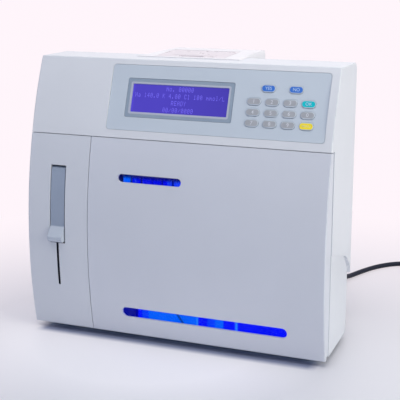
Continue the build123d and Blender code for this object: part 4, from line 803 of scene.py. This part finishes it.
def floor_look():
    """The floor's material: the backdrop's white takes over with distance, but not in the painted contact
    shadow.
    """
    n = material_nodes("floor")
    sheet = n.spread(n.distance(SHEET_CENTRE), 0.0, 1.0, SHEET_NEAR, SHEET_FAR)
    x, y = n.axes("XY")
    contact_wide = n.within(x, CONTACT_X, CONTACT_HALF_WIDTH, CONTACT_SOFT)
    contact_deep = n.within(y, CONTACT_Y, CONTACT_HALF_DEPTH, CONTACT_SOFT)
    contact = n.product(contact_wide, contact_deep)
    inward = n.spread(y, 0.0, 1.0, CONTACT_DARK_END, CONTACT_PALE_START)
    shadow = n.mix(inward, PAINTED_SHADOW_DARK, PAINTED_SHADOW_PALE)
    color = n.mix(contact, n.mix(sheet, SHEET_PAINTED_LIGHT, SHEET_OUTER), shadow)
    away = n.distance(FADE_CENTRE)
    fade = n.spread(away, 0.0, 1.0, FADE_NEAR, FADE_FAR, interpolation_type="SMOOTHSTEP")
    faded = n.product(fade, n.math("SUBTRACT", 1.0, contact))
    glow = n.add("ShaderNodeEmission")
    n.fill(glow.inputs["Color"], WHITE)
    return n.finish(n.blend(n.product(n.backdrop_rays(), faded), n.shader(color, 0.5), glow))


grid = bmesh.new()
bmesh.ops.create_grid(grid, x_segments=8, y_segments=8, size=FLOOR_HALF)
floor = flat_piece("floor", grid, floor_look())

# World: bluish light all round, and the pale backdrop where the camera or a reflection sees it
AMBIENT, AMBIENT_STRENGTH = (0.50, 0.68, 1.0), 0.36


def background(n, color, strength):
    """Light from all round, of one colour."""
    source = n.add("ShaderNodeBackground")
    n.fill(source.inputs["Color"], color)
    n.fill(source.inputs["Strength"], strength)
    return source


world = bpy.data.worlds.new("studio")
bpy.context.scene.world = world
studio = Nodes(world)
ambient = background(studio, AMBIENT, AMBIENT_STRENGTH)
backdrop = background(studio, WHITE, 1.0)
surroundings = studio.blend(studio.backdrop_rays(), ambient, backdrop)
studio.link(surroundings.outputs[0], studio.add("ShaderNodeOutputWorld").inputs["Surface"])


def area_light(name, place, target, size, watts, color):
    """A square lamp at a place, turned to its target."""
    data = bpy.data.lights.new(name, "AREA")
    data.size = size
    data.energy = watts
    data.color = color
    lamp = add_object(name, data)
    lamp.location = place
    lamp.rotation_euler = (Vector(target) - Vector(place)).to_track_quat("-Z", "Y").to_euler()


area_light(
    "right_light", place=(1.70, -0.50, 0.75), target=(0.15, 0.0, 0.20),
    size=1.0, watts=14.8, color=(1.0, 0.985, 0.83),
)
area_light(
    "top_light", place=(0.2, -0.55, 2.2), target=(0.0, -0.1, 0.1),
    size=2.0, watts=29.5, color=(1.0, 0.95, 0.88),
)
area_light(
    "rear_light", place=(-0.5, 1.6, 1.5), target=(0.0, 0.1, 0.2),
    size=1.4, watts=5.2, color=(1.0, 0.98, 0.92),
)

bpy.context.scene.view_settings.view_transform = "Standard"
